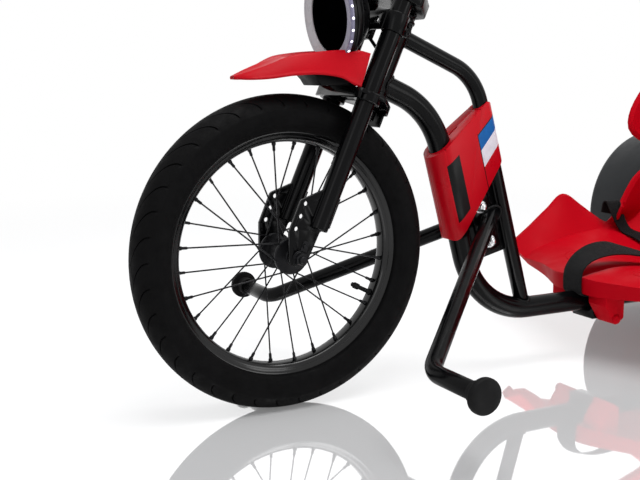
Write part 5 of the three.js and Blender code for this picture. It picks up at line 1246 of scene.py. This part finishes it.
def grip_shells():
    """A rubber grip with a flange and a run of ribs, and the plug in its end."""
    profile = [
        (BAR_BORE, -118), (20.6, -118), (21.8, -117.4), (22, -116.2), (21.8, -114.8), (20.4, -114),
        (17.2, -113.4), (16.2, -112.4),
    ]
    ribs, start, end = 17, -111.0, -9.0
    pitch = (end - start) / ribs
    rib = ((15.1, 0), (15.1, 0.26), (16.2, 0.4), (16.4, 0.6), (16.2, 0.86))
    for k in range(ribs):
        profile += [(radius, start + k * pitch + share * pitch) for radius, share in rib]
    profile += [(15.1, end), (15.1, end + 1.6), (16.6, end + 2.4), (16.8, end + 6)]
    profile += [(16.2, -1.4), (14.8, -0.2), (BAR_BORE, 0)]
    plug = [(HAIR, 3.4), (10.4, 3.4), (11.8, 2.8), (12.4, 1.6), (12.4, 0.2), (11.0, -0.2), (10.6, -4)]
    plug.append((HAIR, -4))
    return [lathe(profile, 72, True), lathe(plug, 40)]


POD_IN, POD_OUT = -145.2, -119.2
POD_RISE = [(BAR_BORE, 0), (19.2, 0), (20.4, 0.6), (22.6, 3.4), (23, 5)]
POD_SEAM = [(23, 12.6), (22.4, 13), (22.4, 13.6), (23, 14)]
pod_profile = [(radius, POD_IN + rise) for radius, rise in POD_RISE + POD_SEAM]
pod_profile += [(radius, POD_OUT - rise) for radius, rise in POD_RISE[::-1]]
pod_screws = []
for x in (-15.5, 15.5):
    for y in (-138.2, -126.2):
        pod_screws += socket_bolt((x * 0.86, y, -17.2), (x * 0.9, y, -20.2), 2.4)
switch_block = prism(rounded(rectangle(-14.2, POD_IN, 14.2, POD_OUT), 3.5, 6), 14.2, 29)
pocket = prism(rounded(rectangle(-12.2, -139.0, 12.2, -125.4), 1.2), 24, 40)
switch_top = carve(switch_block, [pocket, drill((0, -170, 0), (0, -100, 0), BAR_BORE, 48)])
LEFT_GRIP, RIGHT_GRIP = grip_frame(1), grip_frame(-1)
piece("grip_left", grip_shells(), grip_rubber, "left_grip", LEFT_GRIP, sharp=30)
piece("grip_throttle", grip_shells(), grip_rubber, "throttle_grip", RIGHT_GRIP, sharp=30)
for pod, place in (("switch", LEFT_GRIP), ("throttle", RIGHT_GRIP)):
    node = pod + "_housing"
    piece(pod + "_pod_ring", lathe(pod_profile, 64, True), black_plastic, node, place, sharp=30)
    if pod == "switch":
        piece(pod + "_pod_top", switch_top, black_plastic, node, place, bevel=0.8, steps=3)
    piece(pod + "_pod_screws", pod_screws, dark_steel, node, place, sharp=30)
rocker = [(-11, 27.2), (0, 24.5), (11, 27.2), (11, 33), (6, 30.9), (0, 30.2), (-6, 30.9), (-11, 33)]
rocker = prism(rocker, -138.7, -125.7, "xz")
piece("rocker", rocker, red_plastic, "direction_switch", LEFT_GRIP, bevel=0.6, steps=3)


# Seat: a station gives the middle's back and up, then the crease's and the rim's back, out and up
SEAT_SHARES = (
    (0.006, 0.000, 0.132, 0.80, 0.018, 0.142, 0.955, 0.050),
    (0.000, 0.062, 0.120, 0.81, 0.045, 0.112, 0.985, 0.090),
    (0.060, 0.074, 0.170, 0.82, 0.076, 0.200, 0.990, 0.155),
    (0.160, 0.086, 0.240, 0.82, 0.098, 0.290, 0.995, 0.226),
    (0.270, 0.078, 0.330, 0.82, 0.120, 0.372, 1.000, 0.284),
    (0.420, 0.052, 0.440, 0.81, 0.138, 0.446, 0.950, 0.232),
    (0.530, 0.036, 0.530, 0.80, 0.146, 0.520, 0.870, 0.165),
    (0.630, 0.034, 0.600, 0.76, 0.168, 0.545, 0.790, 0.185),
    (0.712, 0.082, 0.650, 0.72, 0.236, 0.535, 0.735, 0.216),
    (0.762, 0.220, 0.700, 0.68, 0.340, 0.600, 0.715, 0.352),
    (0.806, 0.380, 0.752, 0.63, 0.462, 0.695, 0.660, 0.462),
    (0.862, 0.560, 0.790, 0.67, 0.585, 0.580, 0.745, 0.573),
    (0.910, 0.720, 0.840, 0.66, 0.735, 0.640, 0.745, 0.735),
    (0.955, 0.870, 0.900, 0.58, 0.880, 0.790, 0.650, 0.890),
    (0.988, 0.985, 0.968, 0.40, 0.985, 0.940, 0.460, 0.985),
    (1.000, 0.975, 0.985, 0.38, 0.965, 0.965, 0.440, 0.960),
)
GROOVES = (0.02, 0.034, 0.030, 0.018, 0.008)
EDGE_ROLL = ((0, 0), (5, 2.9), (6, 4.6), (6.2, 8))
SEAT_NOSE, SEAT_LENGTH, SEAT_HALF, SEAT_FOOT, SEAT_RISE = -494, 478, 232, 104, 416
SEAT_STEPS = 6


def seat_point(back, across, up):
    return vec(SEAT_NOSE - back * SEAT_LENGTH, across * SEAT_HALF, SEAT_FOOT + up * SEAT_RISE)


def seat_half_row(shares, station):
    """Half a row: the middle with its groove, three points up to the crease, the crease and the rim."""
    mid_back, mid_up, crease_back, crease_out, crease_up, rim_back, rim_out, rim_up = shares
    groove = GROOVES[station] if station < len(GROOVES) else 0
    half = [seat_point(mid_back, 0, mid_up - groove)]
    for share in (0.07, 0.26, 0.62):
        lift = share * share
        back = mid_back + (crease_back - mid_back) * (lift if share < 0.62 else share)
        half.append(seat_point(back, share * crease_out, mid_up + (crease_up - mid_up) * lift))
    return half + [seat_point(crease_back, crease_out, crease_up), seat_point(rim_back, rim_out, rim_up)]


def seat_grid():
    """The tub's upper skin: a crisp crease where the wing leaves the pan, and an edge rolled over."""
    coarse = [seat_half_row(shares, station) for station, shares in enumerate(SEAT_SHARES)]
    rows = []
    for step in range(SEAT_STEPS):
        rows.append([a.lerp(b, step / SEAT_STEPS) for a, b in zip(coarse[0], coarse[1])])
    rows += smooth_rows(coarse[1:], SEAT_STEPS)
    grid = []
    for i, row in enumerate(rows):
        pan = [points[0] for points in smooth_rows([[p] for p in row[:5]], 3)]
        crease, rim = row[4], row[5]
        ahead = rows[min(i + 1, len(rows) - 1)][5] - rows[max(i - 1, 0)][5]
        out = (rim - crease).normalized()
        normal = ahead.cross(out).normalized()
        if normal.z + normal.x < 0:
            normal = -normal
        outward = normal.cross(ahead).normalized()
        if outward.dot(out) < 0:
            outward = -outward
        bend = rim - outward * 2.4
        wing = [crease.lerp(rim, t) for t in (0.12, 0.35, 0.6, 0.82)]
        roll = [bend + outward * over - normal * down for over, down in EDGE_ROLL]
        grid.append(whole(pan + wing + roll))
    return grid


upper_skin = seat_grid()


def skin(station, y, lift):
    """A point on the seat's upper skin, raised by lift."""
    place = min(max(station, 0), len(SEAT_SHARES) - 1.001) * SEAT_STEPS
    low = int(place)

    def on_row(row, across):
        for a, b in zip(row, row[1:]):
            if a.y <= across <= b.y and b.y > a.y:
                return a.lerp(b, (across - a.y) / (b.y - a.y))
        return row[-1].copy()

    near, far = on_row(upper_skin[low], y), on_row(upper_skin[low + 1], y)
    beside = on_row(upper_skin[low], y + 3)
    normal = (beside - near).cross(far - near).normalized()
    if normal.x + normal.z < 0:
        normal = -normal
    return near.lerp(far, place - low) + normal * lift


def oval_groove(side, size):
    """The cutter of a shallow engraved ring on a thigh hollow."""
    loop = []
    for angle in turns(48):
        station, y = 3.0 + 0.62 * size * math.cos(angle), 86 + 34 * size * math.sin(angle)
        loop.append(skin(station, side * y, 0.1))
    verts = []
    for k, point in enumerate(loop):
        heading = (loop[(k + 1) % len(loop)] - loop[k - 1]).normalized()
        across = heading.cross(vec(0, 0, 1)).normalized()
        other = heading.cross(across)
        for angle in turns(6):
            verts.append(point + (across * math.cos(angle) + other * math.sin(angle)) * 0.9)
    return Shell(verts, strip(len(loop), 6, wrap_rows=True, wrap_columns=True))


BOLT_X, BOLT_Z = -528, 70.5
tube_room = tube(front_points, 16.3, 44)
bolt_room = drill((BOLT_X, -90, BOLT_Z), (BOLT_X, 90, BOLT_Z), 3.3)
ovals = [oval_groove(side, size) for side in (-1, 1) for size in (1.0, 0.72)]
piece("seat_tub", carve(thick(upper_skin, 3.8), [tube_room] + ovals), red_plastic, "seat_shell", sharp=26)
lug = rounded([(-506, 112), (-506, 92), (-527, 61), (-543, 71), (-543, 112)], [0, 3, 4, 3, 0], 4)
lugs = [carve(prism(lug, side * 23, side * 60, "xz"), [tube_room, bolt_room]) for side in (-1, 1)]
piece("seat_lugs", lugs, red_plastic, "seat_shell", bevel=1.6, steps=3)
front_block = carve(box((-541, -22.6, 64), (-516, 22.6, 88)), [tube_room, bolt_room])
piece("seat_front_mount", front_block, black_paint, "seat_front_bracket", bevel=1.0)
bolt = tube([(BOLT_X, -61, BOLT_Z), (BOLT_X, 61, BOLT_Z)], 3, 20, 0.3)
plug = [(7.4, 0), (7.4, 0.9), (6.6, 2.4), (4.6, 3.9), (2.2, 4.6), (HAIR, 4.7)]
plugs = [turned((BOLT_X, s * 60.3, BOLT_Z), (BOLT_X, s * 70, BOLT_Z), plug, 36) for s in (-1, 1)]
piece("seat_bolt", bolt, dark_steel, "seat_lug_bolt", sharp=28)
piece("seat_bolt_plugs", plugs, red_plastic, "seat_lug_bolt", sharp=28)
saddle_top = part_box("seat_rear_bracket")[1].z * 1000
saddle = box((-786, -20, FLOOR_RUN), (-742, 20, saddle_top))
piece("seat_rear_mount", carve(saddle, [tube_room]), black_paint, "seat_rear_bracket", bevel=1.0)


# Harness
STRAP_WALL = 2.0


def strap_shell(rows, across=5):
    """A flat band through pairs of edge points, with its map in millimetres, and the band's fine rows."""
    rows = smooth_rows(rows, 6)
    grid, flat = [], []
    gone = 0.0
    for k, (a, b) in enumerate(rows):
        if k:
            gone += ((a + b) / 2 - (rows[k - 1][0] + rows[k - 1][1]) / 2).length
        grid.append([a.lerp(b, j / across) for j in range(across + 1)])
        flat += [((b - a).length * j / across, gone) for j in range(across + 1)]
    return thick(grid, STRAP_WALL, flat), rows


def mirrored_rows(rows, side):
    if side > 0:
        return rows
    return [[vec(p.x, -p.y, p.z) for p in row][::-1] for row in rows]


def stitches(rows):
    """Rows of thread along both edges of a band."""
    threads = []
    inset, pitch, long = 3.2, 3.6, 2.2
    for edge in (0, 1):
        walk = []
        for a, b in rows:
            share = inset / (b - a).length
            walk.append(a.lerp(b, 1 - share if edge else share))
        length = 0.0
        for start, end in zip(walk, walk[1:]):
            run = (end - start).length
            while length < run:
                p = start.lerp(end, length / run)
                q = start.lerp(end, min(1, (length + long) / run))
                if (q - p).length > 1:
                    threads.append(tube([p, q], 0.55, 6, 0.2))
                length += pitch
            length -= run
    return threads


def strap(name, rows, stitched, node):
    """A band, and the stitches along the given stretches of its fine rows."""
    shell, rows = strap_shell(rows)
    threads = []
    for first, last in stitched:
        threads += stitches(rows[first:last])
    piece("strap_" + name, shell, webbing, node, sharp=60)
    stitch_name = "strap_" + (name.replace("_", "_stitches_") if "_" in name else name + "_stitches")
    piece(stitch_name, threads, thread_grey, slot="webbing", body="frame", sharp=60)


buckle_low, buckle_top = [corner.z * 1000 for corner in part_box("buckle")]
buckle_mid = (buckle_low + buckle_top) / 2
STRAP_Z = buckle_mid + 1
CROTCH = [
    (511, 99, 0), (500, 100.5, 0), (493, 106, 0), (491.5, 116, 0), (491.5, 130, 0), (496, 144, 0),
    (512, 158, 3), (540, 167, 6), (574, 168, 7), (608, 161, 5), (654, 150, 2), (697, STRAP_Z, 0),
    (717, STRAP_Z, 0),
]
LAP_ON_SKIN = ((6.1, 6.8, 70, 6.4), (6.15, 6.85, 100, 5), (6.1, 6.75, 140, 4.2), (5.95, 6.55, 166, 3.8))
LAP_FOLD = ((178, 196, 178, 196), (185, 208.5, 185, 208.5), (193, 207, 191, 207), (197, 190, 194, 184))
crotch_rows = [[vec(-back, -20, z + dip), vec(-back, 20, z - dip)] for back, z, dip in CROTCH]
strap("crotch", crotch_rows, ((-7, -1), (8, 21)), "crotch_strap")
for side, name in SIDES:
    lap = [[vec(-736, y, STRAP_Z), vec(-768, y, STRAP_Z)] for y in (31, 42)]
    lap += [[skin(front, y, lift), skin(rear, y, lift)] for front, rear, y, lift in LAP_ON_SKIN]
    lap += [[vec(-730, y0, z0), vec(-759, y1, z1)] for y0, z0, y1, z1 in LAP_FOLD]
    strap("lap_" + name, mirrored_rows(lap, side), ((1, 8),), "lap_strap_" + name)
    high = []
    station = 12.6
    while station > 8.4:
        high.append([skin(station, 36, 3.6), skin(station, 76, 3.6)])
        station -= 0.6
    high.append([vec(-818, 16, 164), vec(-818, 56, 166)])
    high += [[vec(x, 6, STRAP_Z), vec(x, 26, STRAP_Z)] for x in (-791, -784)]
    strap("shoulder_" + name, mirrored_rows(high, side), ((0, 8),), "shoulder_strap_" + name)

body = prism(rounded(rectangle(-783, -29, -721, 29), 14.5, 8), buckle_low, buckle_top)
pocket = prism(rounded(rectangle(-762.3, -13.3, -741.7, 13.3), 2.5), buckle_low + 5.67, buckle_top + 10)
piece("buckle_body", carve(body, [pocket]), black_plastic, "buckle", bevel=2.4, steps=4)
button_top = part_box("buckle_button")[1].z * 1000
press = prism(rounded(rectangle(-762, -13, -742, 13), 2.2), button_top - 8.5, button_top)
piece("buckle_press_pad", press, red_plastic, "buckle_button", bevel=1.2, steps=3)
tongues = []
for outline, corner in (
    (rectangle(-727, -17, -709, 17), 3),
    (rectangle(-766, -37, -738, -24), 2.5),
    (rectangle(-766, 24, -738, 37), 2.5),
):
    tongues.append(prism(rounded(outline, corner), buckle_mid - 1.8, buckle_mid + 0.9))
piece("buckle_tongues", tongues, dark_steel, slot="dark_steel", body="frame", bevel=0.5)


# Rear wheels, drawn round their own middle with y outward
DRUM_HALF = [(160, 43.4), (159.4, 47.4), (158.0, 50.6), (155.6, 53.4), (152.6, 55), (149, 54.6), (145, 46)]
DRUM = [(r, -y) for r, y in DRUM_HALF][::-1] + DRUM_HALF
MOULDING = [
    (144.7, -46), (144.7, 46), (143.6, 46.8), (138.6, 46.8), (137.7, 46), (136.6, 24), (134, 21.4),
    (130, 21), (108, 20.2), (104, 18.4), (62, 18.4), (58, 20.2), (46, 21), (38, 24), (35.4, 28), (34, 44.8),
    (33, 46), (8.5, 46), (8.5, -46), (33, -46), (34, -44.8), (34, 12), (137.7, 12), (137.7, -46),
]
CAP = [
    (HAIR, 63), (10, 63), (11, 64.6), (20.6, 65.4), (22, 66), (30, 66), (36, 65.4), (39.6, 64), (42.2, 61.6),
    (43.6, 58.4), (44, 54), (44, 46.3), (22, 46.3), (22, 60), (HAIR, 60),
]
EYELET = [(19.6, 17.5), (23.4, 17.5), (23.4, 20.6), (22.6, 21.4), (20.4, 21.4), (19.6, 20.6)]
INNER_RIB = prism([(33, -42), (44, -30), (136, 4), (138, 12.5), (33, 12.5)], -1.8, 1.8)
OUTER_RIB = prism([(33, 17), (137, 17), (137, 24), (120, 25.4), (60, 27), (40, 40), (33, 42)], -2.4, 2.4)
WHEEL_Y = 331
HOLE_RING = 84
holes = [drill(polar(HOLE_RING, angle), polar(HOLE_RING, angle, 40), 20, 40) for angle in turns(5)]
wheel = carve(lathe(MOULDING, 120, True), holes)
ribs = [INNER_RIB.moved(Matrix.Rotation(angle, 4, "Y")) for angle in turns(10, 0.5)]
ribs += [OUTER_RIB.moved(Matrix.Rotation(angle, 4, "Y")) for angle in turns(5, 0.5)]
ribs += [lathe(EYELET, 40, True).moved(Matrix.Translation(polar(HOLE_RING, angle))) for angle in turns(5)]
cap_screws = []
for angle in turns(5):
    cap_screws += socket_bolt(polar(31, angle, 65.4), polar(31, angle, 67.2), 2.8)
for side, name in SIDES:
    place = Matrix.Translation((BEAM_X, side * WHEEL_Y, BEAM_Z))
    if side < 0:
        place = place @ Matrix.Rotation(math.pi, 4, "X")
    for part, shells, surface, node, looks in (
        ("drum_", lathe(DRUM, 160, True), sleeve_plastic, "rear_tyre_", {"sharp": 40}),
        ("drum_wheel_", wheel, black_plastic, "rear_wheel_", {"sharp": 30}),
        ("drum_wheel_ribs_", ribs, black_plastic, "rear_wheel_", {"bevel": 0.6}),
        ("drum_cap_", lathe(CAP, 72), black_plastic, "rear_hub_cap_", {"sharp": 28}),
        ("drum_cap_screws_", cap_screws, dark_steel, "rear_hub_cap_", {"sharp": 30}),
    ):
        piece(part + name, shells, surface, node + name, place, **looks)


# Rear beam, motors and battery
def on_beam(y):
    return vec(BEAM_X, y, BEAM_Z)


rear = [tube([on_beam(-233.6), on_beam(233.6)], 17, 48, 1.0)]
rear.append(tube([on_beam(-390), on_beam(390)], 8, 32, 0.8))
rear += [ring_bead(on_beam(y), (0, 1, 0), 17.4, 1.8) for y in (-222, 222)]
piece("rear_beam", rear, black_paint, "rear_axle_beam", sharp=45)
ends = []
for side in (-1, 1):
    ends.append(disc(on_beam(side * 377.3), on_beam(side * 379.2), 15, 0.3, 40))
    ends.append(hexagon(on_beam(side * 379), on_beam(side * 385.2), 12.6, 1.2))
    ends.append(thread(on_beam(side * 385), on_beam(side * 391), 7.9, 1.4))
piece("rear_axle_nuts", ends, bright_steel, "rear_axle_beam", sharp=28)

MOTOR_X, MOTOR_Z = -1015, 206
AXLE_BORE = 8.3
CAN = [
    (HAIR, 0), (22, 0), (22, 3), (21.4, 3.6), (21.4, 8), (22, 8.6), (22, 60), (21.4, 61), (21.4, 62),
    (22, 63), (22, 66), (20.6, 67.4), (12, 68), (11, 69), (11, 73.2), (10, 74), (4, 74), (3.4, 75.4),
    (HAIR, 75.6),
]
GEARBOX_SCREWS = ((-1068, 128), (-994, 128), (-985, 224), (-1053, 226), (-1072, 178))


def gearbox_outline(grow):
    low, high = 114 - grow, MOTOR_Z + 30 + grow
    top_front, top_rear = MOTOR_X + 38 + grow, MOTOR_X - 46 - grow
    return [(-1077 - grow, low), (-985 + grow, low), (top_front, high), (top_rear, high)]


for side, name in SIDES:
    def motor_axis(y, up=0):
        return vec(MOTOR_X, side * y, MOTOR_Z + up)

    axle_room = drill(on_beam(side * 220), on_beam(side * 290), AXLE_BORE, 36)
    case = carve(prism(rounded(gearbox_outline(0), 30, 10), side * 234, side * 270, "xz"), [axle_room])
    flange = prism(rounded(gearbox_outline(3), 32, 10), side * 252 - 1.6, side * 252 + 1.6, "xz")
    trim = [carve(flange, [axle_room])]
    trim.append(disc(on_beam(side * 269), on_beam(side * 274), 30, 1.2, 64, bore=AXLE_BORE))
    screws = []
    for x, z in GEARBOX_SCREWS:
        screws += socket_bolt((x, side * 234.4, z), (x, side * 231.6, z), 3.4)
    slots = []
    for angle in turns(8):
        turn = Matrix.Translation(motor_axis(196)) @ Matrix.Rotation(angle, 4, "Y")
        slots.append(box((-2.2, -14, 20), (2.2, 14, 26)).moved(turn))
    can = carve(turned(motor_axis(234.5), motor_axis(100), CAN, 64), slots)
    gland = tube([motor_axis(163, 8), motor_axis(157, 8)], 3.4, 16, 0.5)
    piece("gearbox_" + name, case, black_plastic, "gear_motor_" + name, bevel=2.2, steps=3)
    piece("gearbox_trim_" + name, trim, black_plastic, "gear_motor_" + name, bevel=0.5)
    piece("gearbox_screws_" + name, screws, dark_steel, "gear_motor_" + name, sharp=28)
    piece("motor_" + name, [can, gland], dark_steel, "gear_motor_" + name, sharp=30)


def battery_prism(inset, low, high, corner=16):
    outline = rectangle(-1100 + inset, -112 + inset, -968 - inset, 112 - inset)
    return prism(rounded(outline, corner, 8), low, high)


shelf = [battery_prism(3.4, 177.3, 180.7)]
shelf += [box((-1054.8, y - 16, BEAM_Z), (-1007.2, y + 16, 180.7)) for y in (-80, 80)]
shelf = [carve(shell, [beam_drill(17.2, 130)]) for shell in shelf]
piece("battery_shelf", shelf, black_paint, "battery_tray", bevel=0.8)
BUTTON_Z = 219
bore = drill((-1090, 0, BUTTON_Z), (-1120, 0, BUTTON_Z), 9.3, 40)
case = carve(battery_prism(0, 181, 257), [battery_prism(3.4, 184.4, 270, 14), bore])
RIB_PLACES = [(x, side * 111, side * 113, "xz") for x in np.linspace(-1082, -986, 7) for side in (-1, 1)]
RIB_PLACES += [(y, -1101, -1099, "yz") for y in (-88, -72, -56, -40, 40, 56, 72, 88)]
ribs = []
for middle, low, high, plane in RIB_PLACES:
    ribs.append(prism(rounded(rectangle(middle - 3, 187, middle + 3, 250), 2.4), low, high, plane))
piece("battery_box", case, black_plastic, "battery_case", bevel=1.2, steps=3)
piece("battery_box_ribs", ribs, black_plastic, "battery_case", bevel=0.5)
collar = lathe([(9.3, 0), (13, 0), (13, 4.2), (12.2, 5), (10.4, 5), (9.3, 4)], 48, True)
collar = along((-1099, 0, BUTTON_Z), (-1130, 0, BUTTON_Z), collar)
piece("power_collar", collar, black_plastic, "battery_case", sharp=30)
lid_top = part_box("battery_lid")[1].z * 1000
lid = [battery_prism(-1.7, 257.3, lid_top - 3.4, 17), battery_prism(3.4, lid_top - 4, lid_top, 14)]
piece("battery_cover", lid, black_plastic, "battery_lid", bevel=1.2, steps=3)
push_in = -1096.6
push_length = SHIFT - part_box("power_button")[0].x * 1000 + push_in
PUSH_FACE = ((9, -1.2), (8.2, -0.3), (6.4, 0), (3, -0.7), (HAIR, -0.9))
push = [(HAIR, 0), (9, 0)] + [(radius, push_length + rise) for radius, rise in PUSH_FACE]
push = turned((push_in, 0, BUTTON_Z), (-1140, 0, BUTTON_Z), push, 48)
piece("power_push", push, red_plastic, "power_button", sharp=30)

HOOP_HALF = 132
hoop_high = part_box("seat_back_hoop")[1]
hoop_top = vec(hoop_high.x * 1000 - SHIFT - 8, 0, hoop_high.z * 1000 - 8)
across = vec(0, HOOP_HALF, 0)
corners = [on_beam(HOOP_HALF), hoop_top + across, hoop_top - across, on_beam(-HOOP_HALF)]
hoop = [carve(tube(route(corners, [44, 44], 14), 8, 32), [beam_drill(16.6, 200)])]
for end, next_one in ((corners[0], corners[1]), (corners[3], corners[2])):
    hoop.append(joint_bead(end, next_one - end, 8, BEAM, vec(0, 1, 0), 17, 1.8))
piece("back_hoop", hoop, black_paint, "seat_back_hoop", sharp=50)
